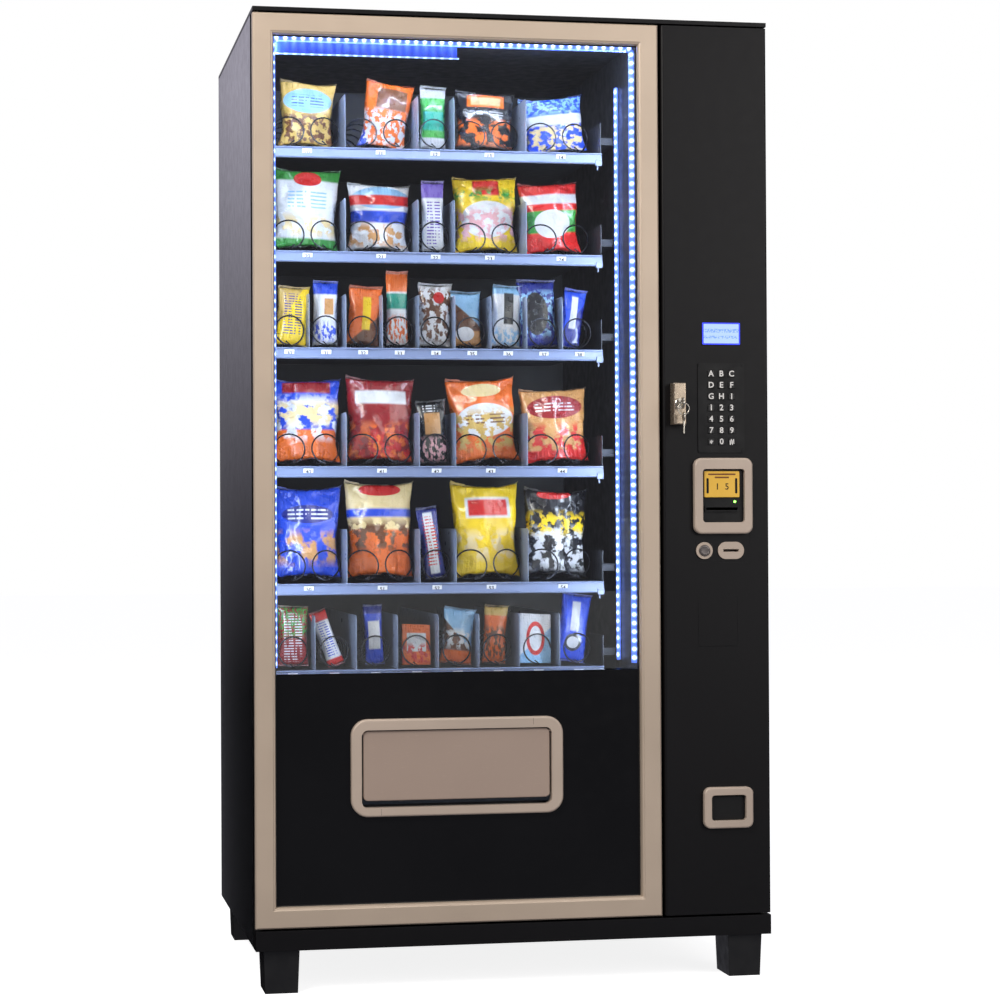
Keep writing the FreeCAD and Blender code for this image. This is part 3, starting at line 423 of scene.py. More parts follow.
def sleeve_glow():
    """A clear sleeve over a tape: white over each diode, falling off to blue between them."""
    paint = Paint("led_sleeve", srgb(70, 90, 190), 0.3)
    u, v, _ = paint.split(paint.node("TexCoord").outputs["UV"])
    along = paint.math("SUBTRACT", paint.math("FRACT", u), 0.5)
    across = paint.math("SUBTRACT", v, 0.5)
    reach = paint.math("ADD", paint.times(paint.math("POWER", along, 2.0), 9.0),
                       paint.times(paint.math("POWER", across, 2.0), 5.0))
    flare = paint.math("POWER", 2.718, paint.times(reach, -2.2))
    flare = paint.times(flare, paint.range(paint.noise(90.0), 0.3, 0.7, 0.85, 1.15))
    paint.feed("Emission Color", paint.mix(flare, (0.10, 0.24, 1.0, 1.0), (0.70, 0.84, 1.0, 1.0)))
    paint.feed("Emission Strength", paint.range(flare, 0.0, 1.0, 0.75, 5.5))
    return paint.material


LED_SLEEVE = sleeve_glow()


def led_strip(name, start, end, facing, width):
    """A tape with a row of diodes under a half-round sleeve, from start to end, looking along facing."""
    start, end, facing = Vector(start), Vector(end), Vector(facing).normalized()
    along = (end - start).normalized()
    across = along.cross(facing)
    length = (end - start).length
    bm = bmesh.new()
    uv = bm.loops.layers.uv.new("strip")
    profile = [(math.cos(math.pi * k / 10), math.sin(math.pi * k / 10)) for k in range(11)]

    def corner(place, side, rise):
        return bm.verts.new(place + across * (side * width / 2) + facing * rise)

    rings = [[corner(place, w, n * SLEEVE_RISE) for w, n in profile] for place in (start, end)]
    for k in range(10):
        face = bm.faces.new((rings[0][k], rings[0][k + 1], rings[1][k + 1], rings[1][k]))
        shares = ((0, k), (0, k + 1), (1, k + 1), (1, k))
        for loop, (far, step) in zip(face.loops, shares):
            loop[uv].uv = (far * length / LED_PITCH, (1 - profile[step][0]) / 2)
    bm.faces.new(rings[0])
    bm.faces.new(list(reversed(rings[1])))
    corners = []
    for side, rise in ((-1, 0.0), (1, 0.0), (1, -TAPE_DEPTH), (-1, -TAPE_DEPTH)):
        corners.append([corner(place, side, rise) for place in (start, end)])
    for k in range(4):
        first, second = corners[k], corners[(k + 1) % 4]
        face = bm.faces.new((first[0], first[1], second[1], second[0]))
        face.material_index = 1
    return add_piece(name, finish_mesh(bm, name), [LED_SLEEVE, LED_TAPE], "cabinet", smooth=False)


def make_light_strips():
    """The tapes sit in the liner's front corners and look inwards and a little to the front."""
    front = LINER_LOW.y + 5 * MM
    left, right = LINER_LOW.x + 5 * MM, LINER_HIGH.x - 6 * MM
    foot, top = PANE_LOW.z + 8 * MM, LINER_HIGH.z - 6 * MM
    bar, head, inner = top - 4 * MM, top - 10 * MM, top - 60 * MM
    places = (("left", (left, front, foot), (left, front, head), (1, -0.9, 0), 18 * MM),
              ("top", (left, front, bar), (right, front, bar), (0, -1.0, -0.35), 20 * MM),
              ("right", (right, front, head), (right, front, foot), (-0.8, -1.0, 0), 15 * MM),
              ("inner", (right, RAIL_BACK, inner), (right, RAIL_BACK, foot), (-0.9, -0.8, 0), 9 * MM))
    for name, start, end, facing, width in places:
        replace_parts(led_strip("led_strip_" + name, start, end, facing, width), "led_strips")


def painted_guard_glow(foot, top):
    """Painted glow: the strip's blue light painted into ribbed clear plastic as blue colour and emission,
    brighter towards the strip above it.
    """
    guard = Paint("painted_guard_glow", srgb(40, 70, 200), 0.25, Alpha=0.75)
    x, _, z = guard.split(guard.coords())
    ribs = guard.math("SINE", guard.times(x, 2 * math.pi / LED_PITCH))
    # painted falloff: the glow is brighter near the strip above, as the strip's light would fall
    fall = guard.range(z, foot, top, 0.18, 0.8)
    broken = guard.range(guard.noise(55.0, (1, 1, 0.3)), 0.3, 0.7, 0.55, 1.25)
    painted_glow = guard.times(guard.times(fall, broken), guard.range(ribs, -1.0, 1.0, 0.6, 1.3))
    guard.feed("Emission Color", guard.mix(painted_glow, (0.03, 0.10, 0.75, 1.0), (0.28, 0.48, 1.0, 1.0)))
    guard.feed("Emission Strength", painted_glow)
    return guard.material


def painted_guard_edge_glow():
    # Painted glow: the guard's lower edge, lit by the diodes above, painted as pale blue colour and emission
    # in dots at the diode pitch.
    edge = Paint("guard_edge", srgb(120, 150, 240), 0.3, Emission_Color=(0.45, 0.68, 1.0, 1.0))
    dots = edge.math("SINE", edge.times(edge.split(edge.coords())[0], 2 * math.pi / LED_PITCH))
    edge.feed("Emission Strength", edge.range(dots, -0.2, 0.9, 0.5, 2.2))
    return edge.material


def make_light_guard():
    """The ribbed clear guard that hangs below the top strip at the left, with a bright lower edge; guard and
    edge both carry painted glow from the strip.
    """
    low_x, high_x = LINER_LOW.x + 6 * MM, LINER_LOW.x + 362 * MM
    y = LINER_LOW.y + 10 * MM
    top, foot = LINER_HIGH.z - 12 * MM, LINER_HIGH.z - 41 * MM
    bm = bmesh.new()
    step = LED_PITCH / 4
    count = int((high_x - low_x) / step)
    rows = []
    for z in (top, foot):
        waves = [1.2 * MM * math.cos(k * math.pi / 2) for k in range(count + 1)]
        rows.append([bm.verts.new((low_x + k * step, y + wave, z)) for k, wave in enumerate(waves)])
    for k in range(count):
        bm.faces.new((rows[0][k], rows[0][k + 1], rows[1][k + 1], rows[1][k]))
    add_piece("light_guard", finish_mesh(bm, "light_guard"), painted_guard_glow(foot, top), "cabinet")
    bm = bmesh.new()
    soft_box(bm, (low_x, y - 1.6 * MM, foot - 1.4 * MM), (high_x, y + 1.6 * MM, foot + 1.0 * MM), 0.4 * MM)
    edge = finish_mesh(bm, "light_guard_edge")
    add_piece("light_guard_edge", edge, painted_guard_edge_glow(), "cabinet")


def glow_lamp(name, place, size_x, size_y, direction, watts, color):
    """A soft lamp that the camera doesn't see. Beside a light strip it stands for the strip's light."""
    data = bpy.data.lights.new(name, "AREA")
    data.shape = "RECTANGLE"
    data.size = size_x
    data.size_y = size_y
    data.energy = watts
    data.color = color
    lamp = new_object(name, data)
    lamp.location = place
    lamp.rotation_euler = Vector(direction).to_track_quat("-Z", "Y").to_euler()
    lamp.visible_camera = False


# ---- trays --------------------------------------------------------------------------------------
RAIL_BOXES = sorted(solids("price_rails"), key=lambda box: -box[0].z)
TRAY_LEVELS = [high.z for low, high in RAIL_BOXES]
COIL_LIFT = 34.5 * MM
COIL_SPREAD = 35.8 * MM
COIL_RADIUS = 28.9 * MM
COIL_WIRE = 1.55 * MM
COIL_LENGTH = 478.0 * MM
COIL_FRONT = RAIL_BACK + 7.0 * MM
WIDE_TURNS = 7
NARROW_TURNS = 12
WIDE_MOTOR = 80.0 * MM


def find_lanes():
    """(row, lane, x of the middle, is it wide) of every lane, from the motor boxes."""
    found = []
    for low, high in solids("coil_motors"):
        z = (low.z + high.z) / 2 - COIL_LIFT
        row = min(range(len(TRAY_LEVELS)), key=lambda k: abs(TRAY_LEVELS[k] - z))
        found.append((row, (low.x + high.x) / 2, high.x - low.x > WIDE_MOTOR))
    rows = [row for row, x, wide in sorted(found)]
    return [(row, k - rows.index(row), x, wide) for k, (row, x, wide) in enumerate(sorted(found))]


LANES = find_lanes()


def coil_path(x, z, turns, hand):
    """Points of one spiral from its bent front end at the bottom to the coupler."""
    steps = 26
    points = [(x - hand * 9.0 * MM, COIL_FRONT - 0.5 * MM, z - COIL_RADIUS + 7.0 * MM)]
    for step in range(turns * steps + 1):
        angle = 2 * math.pi * step / steps
        y = COIL_FRONT + COIL_LENGTH * step / (turns * steps)
        points.append((x - hand * COIL_RADIUS * math.sin(angle), y, z - COIL_RADIUS * math.cos(angle)))
    return points


def coil_piece(name, coils, body):
    curve = bpy.data.curves.new(name, "CURVE")
    curve.dimensions = "3D"
    curve.bevel_depth = COIL_WIRE
    curve.bevel_resolution = 2
    for coil in coils:
        points = coil_path(*coil)
        spline = curve.splines.new("POLY")
        spline.points.add(len(points) - 1)
        spline.use_smooth = True
        for point, place in zip(spline.points, points):
            point.co = (*place, 1.0)
    curve.materials.append(COIL_STEEL)
    piece = new_object(name, curve)
    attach(piece, body)
    return piece


def couplers_piece(name, places, body):
    """The moulded coupler at each coil's back end."""
    profile = ((8.0, -5.0), (30.0, -5.0), (31.5, -3.5), (31.5, 2.0), (30.0, 3.0), (4.0, 3.0))
    profile = [(radius * MM, along * MM) for radius, along in profile]
    bm = bmesh.new()
    for x, z in places:
        turned(bm, (x, COIL_FRONT + COIL_LENGTH, z), profile, 20)
    return add_piece(name, finish_mesh(bm, name), BLACK_PLASTIC, body, smooth=False)


def make_coils():
    moving = {}
    for name in ("vend_coil_a", "vend_coil_b"):
        centre = middle(name)
        moving[(round(centre.x, 3), round(centre.z, 2))] = name
    fixed = []
    places = []
    for row, _, x, wide in LANES:
        z = TRAY_LEVELS[row] + COIL_LIFT
        turns = WIDE_TURNS if wide else NARROW_TURNS
        for side in ((-1, 1) if wide else (0,)):
            centre_x = x + side * COIL_SPREAD
            spiral = (centre_x, z, turns, side or 1)
            name = moving.get((round(centre_x, 3), round(z, 2)))
            if name:
                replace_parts(coil_piece(name + "_wire", [spiral], name), name)
                couplers_piece(name + "_coupler", [(centre_x, z)], name)
            else:
                fixed.append(spiral)
                places.append((centre_x, z))
    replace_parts(coil_piece("spiral_wires", fixed, "cabinet"), "spiral_coils")
    couplers_piece("spiral_couplers", places, "cabinet")


def make_rails():
    """The price rails: a channel with two lips, drawn as (y, z) in mm from its top back corner."""
    profile = ((0.0, 0.0), (-4.5, 0.0), (-6.5, -1.2), (-6.5, -2.6), (-4.2, -3.4), (-9.6, -18.4),
               (-12.0, -18.8), (-12.0, -20.4), (-10.0, -22.0), (0.0, -22.0))
    for row, (low, high) in enumerate(RAIL_BOXES):
        bm = bmesh.new()
        ends = []
        for x in (low.x, high.x):
            ends.append([bm.verts.new((x, high.y + y * MM, high.z + z * MM)) for y, z in profile])
        bridge(bm, ends)
        bm.faces.new(ends[0])
        bm.faces.new(list(reversed(ends[1])))
        name = "price_rail_%d" % (row + 1)
        piece = add_piece(name, finish_mesh(bm, name), RAIL_PLASTIC, "cabinet", smooth=False)
        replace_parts(piece, "price_rails")


TAG_SIZE = Vector((19.0, 0.6, 13.0)) * MM
TAG_TILT = Matrix.Rotation(math.atan2(5.4, 15.0), 4, "X")


def make_tags():
    """A white tag in the rail below each lane, with the lane's number."""
    for row, lane, x, _ in LANES:
        place = (x - 4 * MM, RAIL_BACK - 8.0 * MM, TRAY_LEVELS[row] - 11.2 * MM)
        centre = Matrix.Translation(place) @ TAG_TILT
        bm = bmesh.new()
        soft_box(bm, -TAG_SIZE / 2, TAG_SIZE / 2, 0.0)
        mesh = finish_mesh(bm, "tag")
        mesh.transform(centre)
        code = "%d%d" % (row + 1, lane)
        add_piece("tag_" + code, mesh, TAG_PAPER, "cabinet", smooth=False)
        digits = text_mesh(code, 10.5 * MM, 0.15 * MM, 0.15 * MM)
        digits.transform(centre @ Matrix.Translation((0, -0.5 * MM, 0)))
        add_piece("tag_digits_" + code, digits, BLACK_PLASTIC, "cabinet", smooth=False)


def make_tray_clips():
    """The clip at the right end of each rail: a block with a thin tongue below it."""
    for row, (low, high) in enumerate(RAIL_BOXES):
        bm = bmesh.new()
        corner = Vector((high.x - 5 * MM, low.y, low.z))
        for start, end, bevel in (((-9, -1.5, -4), (4, 6, 8), 1.0), ((-6, 1, -12), (-3, 4, -3), 0.8)):
            soft_box(bm, corner + Vector(start) * MM, corner + Vector(end) * MM, bevel * MM)
        name = "tray_clip_%d" % (row + 1)
        add_piece(name, finish_mesh(bm, name), RAIL_PLASTIC, "cabinet", smooth=False)


# ---- packets ------------------------------------------------------------------------------------
def pouch_mesh(name, width, height, columns, rows, seal_rows):
    """A flat pouch: two layers of film joined along the sides, and pressed into one layer at both ends."""
    bm = bmesh.new()
    uv = bm.loops.layers.uv.new("print")
    grid = {}

    def corner(layer, i, j):
        joined = i in (0, columns) or j <= seal_rows or j >= rows - seal_rows
        key = (0 if joined else layer, i, j)
        if key not in grid:
            belly = math.sin(math.pi * i / columns) * math.sin(math.pi * j / rows)
            place = ((i / columns - 0.5) * width, key[0] * 2.5 * MM * belly, j / rows * height)
            grid[key] = bm.verts.new(place)
        return grid[key]

    for layer in (-1, 1):
        for i in range(columns):
            for j in range(rows):
                places = [(i, j), (i + 1, j), (i + 1, j + 1), (i, j + 1)]
                verts = [corner(layer, *place) for place in places]
                if bm.faces.get(verts):
                    continue
                face = bm.faces.new(verts)
                for loop, (a, b) in zip(face.loops, places):
                    loop[uv].uv = (a / columns, b / rows)
    return finish_mesh(bm, name)


def inflate(mesh, pressure, frames=22):
    """Blows up a flat pouch with a cloth simulation and returns the settled mesh."""
    source = new_object("pouch_source", mesh)
    cloth = source.modifiers.new("Cloth", "CLOTH")
    settings = cloth.settings
    settings.quality = 6
    settings.mass = 0.12
    settings.air_damping = 4.0
    settings.tension_stiffness = 40.0
    settings.compression_stiffness = 40.0
    settings.shear_stiffness = 20.0
    settings.bending_stiffness = 0.15
    settings.use_pressure = True
    settings.uniform_pressure_force = pressure
    settings.effector_weights.gravity = 0.0
    cloth.point_cache.frame_start = 1
    cloth.point_cache.frame_end = frames
    for step in range(1, frames + 1):
        bpy.context.scene.frame_set(step)
    done = bpy.data.meshes.new_from_object(source.evaluated_get(bpy.context.evaluated_depsgraph_get()))
    bpy.data.objects.remove(source)
    bpy.context.scene.frame_set(1)
    return done


def as_array(mesh):
    places = np.empty(len(mesh.vertices) * 3)
    mesh.vertices.foreach_get("co", places)
    return places.reshape(-1, 3)


def master_pouch(name, width, height, columns, rows, seal_rows, pressure):
    """A settled pouch scaled to width 1, height 1 and thickness 1, standing on z = 0."""
    mesh = pouch_mesh(name, width, height, columns, rows, seal_rows)
    mesh = inflate(mesh, pressure)
    places = as_array(mesh)
    low, high = places.min(0), places.max(0)
    places = (places - (low + high) / 2) / (high - low)
    places[:, 2] += 0.5
    mesh.vertices.foreach_set("co", places.ravel())
    return mesh


# Each print is a base colour and layers over it, in shares of the packet's width and height:
# ("band", low, high, colour), ("oval", x, z, half width, half height, colour),
# ("panel", x, z, half width, half height, colour), ("slant", offset, slope, colour),
# ("food", low, high, colour, scale), ("lines", low, high, colour).
class Print:
    """The printed film of one packet, drawn in the packet's own flat coordinates."""

    def __init__(self, name, base, layers, seed):
        self.paint = Paint("print_" + name, base, 0.3, Coat_Weight=0.8, Coat_Roughness=0.12)
        paint = self.paint
        self.u, self.v, _ = paint.split(paint.node("TexCoord").outputs["UV"])
        color = base
        for layer in layers:
            mask = getattr(self, layer[0])(*[x for x in layer[1:] if not isinstance(x, tuple)])
            tone = next(x for x in layer if isinstance(x, tuple))
            color = paint.mix(mask, color, tone)
        crimp = self.crimp()
        silver = paint.mix(0.25, color, (0.8, 0.82, 0.85, 1.0))
        paint.feed("Base Color", paint.mix(crimp, color, silver))
        ridges = paint.math("SINE", paint.times(self.v, 900.0))
        teeth = paint.times(ridges, crimp)
        folds = paint.noise(5.0 + seed % 3, (1.0, 1.5, 1.0), 5.0, "UV")
        sharp = paint.math("ABSOLUTE", paint.math("SUBTRACT", folds, 0.5))
        creases = paint.math("ADD", paint.times(sharp, -1.4), folds)
        ends = paint.range(paint.math("ABSOLUTE", paint.math("SUBTRACT", self.v, 0.5)), 0.2, 0.46, 0.0, 1.0)
        pleats = paint.noise(26.0, (1.0, 0.14, 1.0), 2.0, "UV")
        pulled = paint.times(paint.times(pleats, ends), 1.3)
        height = paint.math("ADD", paint.times(teeth, 0.25), paint.math("ADD", creases, pulled))
        paint.bump(height, 3.8 * MM, 0.85)
        paint.feed("Roughness", paint.range(creases, 0.3, 0.7, 0.22, 0.42))

    def between(self, value, low, high, soft=0.012):
        paint = self.paint
        rise = paint.range(value, low - soft, low + soft)
        fall = paint.range(value, high - soft, high + soft, 1.0, 0.0)
        return paint.times(rise, fall)

    def band(self, low, high):
        return self.between(self.v, low, high)

    def oval(self, x, z, half_width, half_height):
        paint = self.paint
        across = paint.math("DIVIDE", paint.math("SUBTRACT", self.u, x), half_width)
        up = paint.math("DIVIDE", paint.math("SUBTRACT", self.v, z), half_height)
        total = paint.math("ADD", paint.math("POWER", across, 2.0), paint.math("POWER", up, 2.0))
        return paint.range(total, 0.94, 1.06, 1.0, 0.0)

    def panel(self, x, z, half_width, half_height):
        across = self.between(self.u, x - half_width, x + half_width)
        return self.paint.times(across, self.between(self.v, z - half_height, z + half_height))

    def slant(self, offset, slope):
        paint = self.paint
        line = paint.math("SUBTRACT", self.v, paint.times(self.u, slope))
        return paint.range(line, offset - 0.015, offset + 0.015, 1.0, 0.0)

    def food(self, low, high, scale):
        paint = self.paint
        blobs = paint.noise(scale, (1.0, 1.3, 1.0), 3.0, "UV")
        spots = paint.range(blobs, 0.47, 0.53)
        return paint.times(spots, self.between(self.v, low, high, 0.05))

    def lines(self, low, high):
        paint = self.paint
        wave = paint.math("SINE", paint.times(self.v, 150.0))
        rows = paint.range(wave, 0.1, 0.4)
        words = paint.range(paint.noise(14.0, (1.0, 0.2, 1.0), 1.0, "UV"), 0.45, 0.5, 0.0, 1.0)
        inside = paint.times(self.band(low, high), self.between(self.u, 0.22, 0.78))
        return paint.times(paint.times(rows, words), inside)

    def crimp(self):
        paint = self.paint
        top = paint.range(self.v, 0.945, 0.95)
        foot = paint.range(self.v, 0.05, 0.055, 1.0, 0.0)
        return paint.math("MAXIMUM", top, foot)


WHITE = srgb(236, 238, 244)
CREAM = srgb(240, 216, 160)
GOLD = srgb(214, 178, 96)
YELLOW = srgb(244, 206, 30)
ORANGE = srgb(240, 112, 36)
RED = srgb(214, 36, 34)
DEEP_RED = srgb(150, 24, 32)
GREEN = srgb(56, 150, 60)
TEAL = srgb(36, 160, 140)
BLUE = srgb(30, 74, 210)
DEEP_BLUE = srgb(16, 34, 130)
PALE_BLUE = srgb(150, 200, 240)
PURPLE = srgb(120, 96, 190)
BROWN = srgb(110, 66, 40)
TAN = srgb(206, 150, 90)
INK = srgb(20, 20, 26)
PINK = srgb(236, 180, 190)

# row by row from the top left: kind, width, height and thickness in mm, lean in degrees, sideways
# shift in mm, base colour, and then the print's layers. A positive lean is to the customer's right.
PACKETS = (
    (("bag", 112, 136, 50, 3, 2, GOLD, ("food", .08, .5, BROWN, 9),
      ("oval", .5, .68, .42, .17, PALE_BLUE), ("lines", .6, .76, BLUE)),
     ("bag", 98, 142, 42, 9, 8, ORANGE, ("slant", .35, -1.2, BLUE), ("panel", .56, .72, .3, .14, BROWN),
      ("food", .1, .55, WHITE, 10)),
     ("bar", 52, 128, 26, 1, 0, GREEN, ("band", 0, .2, WHITE), ("panel", .5, .45, .4, .14, TEAL),
      ("band", .8, 1, WHITE)),
     ("bag", 122, 126, 52, 2, 0, INK, ("panel", .5, .8, .3, .09, ORANGE),
      ("panel", .5, .8, .24, .06, CREAM), ("food", .15, .5, ORANGE, 5), ("lines", .58, .64, WHITE)),
     ("bag", 132, 118, 54, -7, 6, BLUE, ("food", .05, .5, CREAM, 8), ("band", .5, .66, WHITE),
      ("food", .7, 1, PALE_BLUE, 14))),
    (("bag", 134, 168, 58, 2, 0, WHITE, ("band", .82, 1, GREEN), ("band", 0, .17, GREEN),
      ("oval", .5, .83, .2, .08, RED), ("food", .2, .42, CREAM, 6), ("lines", .5, .7, PALE_BLUE)),
     ("bag", 126, 140, 52, 1, 2, WHITE, ("oval", .52, .76, .46, .15, PALE_BLUE), ("band", .66, .8, RED),
      ("band", .42, .58, BLUE), ("food", .1, .4, TAN, 5)),
     ("bar", 46, 144, 26, 0, 0, WHITE, ("band", .74, 1, PURPLE), ("lines", .1, .7, PURPLE)),
     ("bag", 132, 158, 58, -1, 4, YELLOW, ("panel", .5, .82, .2, .09, RED), ("food", .68, .8, GREEN, 7),
      ("oval", .5, .44, .4, .22, WHITE), ("food", .2, .56, PINK, 9)),
     ("bag", 122, 150, 54, -4, -4, RED, ("band", .68, .8, WHITE), ("panel", .5, .45, .42, .14, GREEN),
      ("oval", .5, .42, .3, .18, WHITE))),
    (("bar", 62, 120, 26, 4, 4, GOLD, ("slant", .3, .8, YELLOW), ("lines", .2, .85, DEEP_BLUE)),
     ("bar", 50, 130, 24, 1, 0, WHITE, ("band", .78, 1, BLUE), ("food", .1, .36, BLUE, 8),
      ("panel", .62, .6, .18, .12, TAN)),
     ("bar", 66, 120, 26, 4, 2, ORANGE, ("slant", .05, .5, BROWN), ("panel", .55, .55, .12, .26, YELLOW)),
     ("bar", 44, 150, 24, 0, 0, WHITE, ("band", .72, 1, ORANGE), ("band", .5, .7, TEAL),
      ("food", .08, .4, ORANGE, 9)),
     ("bar", 68, 128, 28, 2, 0, WHITE, ("food", .1, .9, BROWN, 6), ("oval", .6, .76, .16, .09, RED)),
     ("bar", 62, 112, 26, -1, -6, PALE_BLUE, ("slant", .85, -.5, BROWN), ("band", 0, .3, TAN),
      ("oval", .45, .25, .3, .12, WHITE)),
     ("bar", 60, 126, 24, 3, 0, WHITE, ("band", .84, 1, PALE_BLUE), ("panel", .55, .62, .16, .24, INK),
      ("food", .05, .3, PALE_BLUE, 7)),
     ("bar", 78, 138, 30, -3, -2, DEEP_BLUE, ("food", .2, .8, PALE_BLUE, 9),
      ("oval", .45, .5, .3, .3, INK)),
     ("bar", 46, 120, 24, 9, -16, BLUE, ("slant", .2, .6, DEEP_BLUE), ("panel", .5, .6, .14, .26, WHITE))),
    (("bag", 138, 172, 60, 0, 2, BLUE, ("band", 0, .4, ORANGE), ("food", .3, .75, WHITE, 5),
      ("food", .45, .7, CREAM, 6), ("panel", .5, .86, .34, .06, DEEP_RED)),
     ("bag", 138, 176, 60, 1, 2, DEEP_RED, ("panel", .5, .74, .36, .07, WHITE),
      ("food", .06, .45, ORANGE, 5), ("food", .08, .36, RED, 9)),
     ("bar", 60, 128, 30, -3, 0, INK, ("food", .05, .4, PINK, 8), ("panel", .5, .62, .26, .16, TAN),
      ("lines", .78, .9, WHITE)),
     ("bag", 140, 176, 60, -4, 2, ORANGE, ("oval", .5, .82, .28, .07, CREAM),
      ("oval", .5, .5, .4, .18, WHITE), ("food", .2, .6, GOLD, 8), ("lines", .46, .56, BROWN)),
     ("bag", 138, 156, 58, -3, 2, TAN, ("band", 0, .2, RED), ("food", .1, .5, RED, 6),
      ("oval", .5, .72, .4, .14, DEEP_RED), ("lines", .66, .78, WHITE))),
    (("bag", 138, 188, 60, 0, 2, BLUE, ("food", .2, .5, TAN, 4), ("oval", .5, .68, .36, .09, DEEP_BLUE),
      ("lines", .62, .74, WHITE)),
     ("bag", 138, 198, 60, 0, 2, CREAM, ("band", 0, .5, ORANGE), ("band", .62, .7, BLUE),
      ("food", .3, .58, BROWN, 7), ("oval", .5, .88, .3, .06, RED)),
     ("bar", 42, 146, 24, -8, 4, DEEP_BLUE, ("panel", .5, .5, .22, .4, WHITE), ("lines", .2, .85, RED)),
     ("bag", 138, 194, 60, -1, 2, YELLOW, ("panel", .52, .72, .32, .1, WHITE),
      ("panel", .52, .72, .28, .08, RED), ("food", .22, .48, CREAM, 5)),
     ("bag", 130, 182, 58, 1, -2, INK, ("food", .14, .55, WHITE, 7), ("food", .5, .7, YELLOW, 9),
      ("oval", .45, .9, .26, .05, RED))),
    (("bar", 62, 120, 28, 0, 2, DEEP_RED, ("food", .5, 1, GREEN, 14), ("lines", .1, .85, WHITE)),
     ("bar", 34, 116, 20, -20, 8, WHITE, ("band", 0, .16, RED), ("band", .8, 1, RED),
      ("lines", .2, .8, BLUE)),
     ("bar", 38, 120, 24, -2, 2, BLUE, ("panel", .5, .5, .3, .22, WHITE), ("band", .84, 1, DEEP_BLUE)),
     ("box", 56, 80, 26, 0, 2, ORANGE, ("panel", .5, .55, .34, .2, WHITE), ("food", .1, .5, RED, 5)),
     ("bar", 64, 112, 28, 6, 0, PALE_BLUE, ("slant", .8, -.6, BROWN), ("band", 0, .26, ORANGE),
      ("food", .3, .6, WHITE, 6)),
     ("bar", 48, 118, 26, 4, -4, ORANGE, ("food", .1, .6, BROWN, 7), ("band", .8, 1, GOLD)),
     ("box", 62, 98, 26, 1, -2, WHITE, ("slant", .2, .5, PALE_BLUE), ("oval", .5, .5, .3, .3, RED),
      ("oval", .5, .5, .2, .22, WHITE)),
     ("bar", 60, 140, 26, 8, -12, BLUE, ("oval", .5, .3, .28, .12, INK),
      ("oval", .5, .3, .2, .08, WHITE), ("panel", .5, .66, .14, .2, WHITE))),
)


def carton_mesh(name):
    """A small carton of width, height and thickness 1 with soft edges."""
    bm = bmesh.new()
    soft_box(bm, (-0.5, -0.5, 0.0), (0.5, 0.5, 1.0), 0.025)
    uv = bm.loops.layers.uv.new("print")
    for face in bm.faces:
        for loop in face.loops:
            loop[uv].uv = (loop.vert.co.x + 0.5, 0.06 + 0.88 * loop.vert.co.z)
    return finish_mesh(bm, name)


def crumple(places, width, height, thickness, seed, kind):
    """Gives each packet its own dents, wavy ends and a crumpled foot."""
    shaped = places * np.array([width, thickness, height])
    amount = 4.2 * MM if kind == "bag" else 1.6 * MM
    for index, (x, y, z) in enumerate(shaped):
        share = z / height
        dent = noise.noise(Vector((x * 26 + seed * 7.3, seed * 3.1 + (9 if y > 0 else 0), z * 22)))
        ripple = noise.noise(Vector((x * 60, seed * 5.7, z * 45)))
        shaped[index, 1] += amount * dent + amount * 0.4 * ripple
        ear = max(0.0, share - 0.9) * 10
        shaped[index, 1] += ear * 7.0 * MM * noise.noise(Vector((x * 24, seed, 4.0)))
        shaped[index, 2] += ear * height * 0.035 * noise.noise(Vector((x * 14, seed * 1.7, 8.0)))
        bulge = math.sin(math.pi * min(1.0, max(0.0, share)))
        sway = (0.035 if kind == "bag" else 0.015) * width * bulge
        shaped[index, 0] += sway * noise.noise(Vector((seed, z * 16, 2.0)))
        foot = max(0.0, 0.12 - share) / 0.12
        shaped[index, 2] += foot * 5.0 * MM * abs(noise.noise(Vector((x * 40, seed * 2.0, 1.0))))
        if kind == "bag":
            shaped[index, 0] *= 1.0 - 0.06 * math.sin(math.pi * min(1.0, share / 0.55)) * (1 - foot)
    return shaped


def make_packets():
    masters = {
        "bag": master_pouch("bag_master", 0.138, 0.178, 40, 52, 2, 9.0),
        "bar": master_pouch("bar_master", 0.056, 0.126, 22, 44, 2, 7.0),
        "box": carton_mesh("box_master"),
    }
    moving = {name: middle(name) for name in ("vend_pack_a", "vend_pack_b")}
    for number, (row, lane, x, wide) in enumerate(LANES):
        kind, width, height, thick, lean, shift, base, *layers = PACKETS[row][lane]
        mesh = masters[kind].copy()
        shaped = crumple(as_array(mesh), width * MM, height * MM, thick * MM, number + 1, kind)
        mesh.vertices.foreach_set("co", shaped.ravel())
        pitch = COIL_LENGTH / (WIDE_TURNS if wide else NARROW_TURNS)
        place = Vector((x + shift * MM, COIL_FRONT + pitch, TRAY_LEVELS[row] + 4.5 * MM))
        turn = Matrix.Rotation(math.radians(lean), 4, "Y") @ Matrix.Rotation(math.radians(-3.0), 4, "X")
        mesh.transform(Matrix.Translation(place) @ turn)
        body = "cabinet"
        for name, centre in moving.items():
            if abs(centre.x - x) < 0.02 and abs(centre.z - place.z) < 0.12:
                body = name
        film = Print("%d_%d" % (row + 1, lane + 1), base, layers, number)
        name = "packet_%d_%d" % (row + 1, lane + 1)
        piece = add_piece(name, mesh, film.paint.material, body)
        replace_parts(piece, "snack_packs" if body == "cabinet" else body)


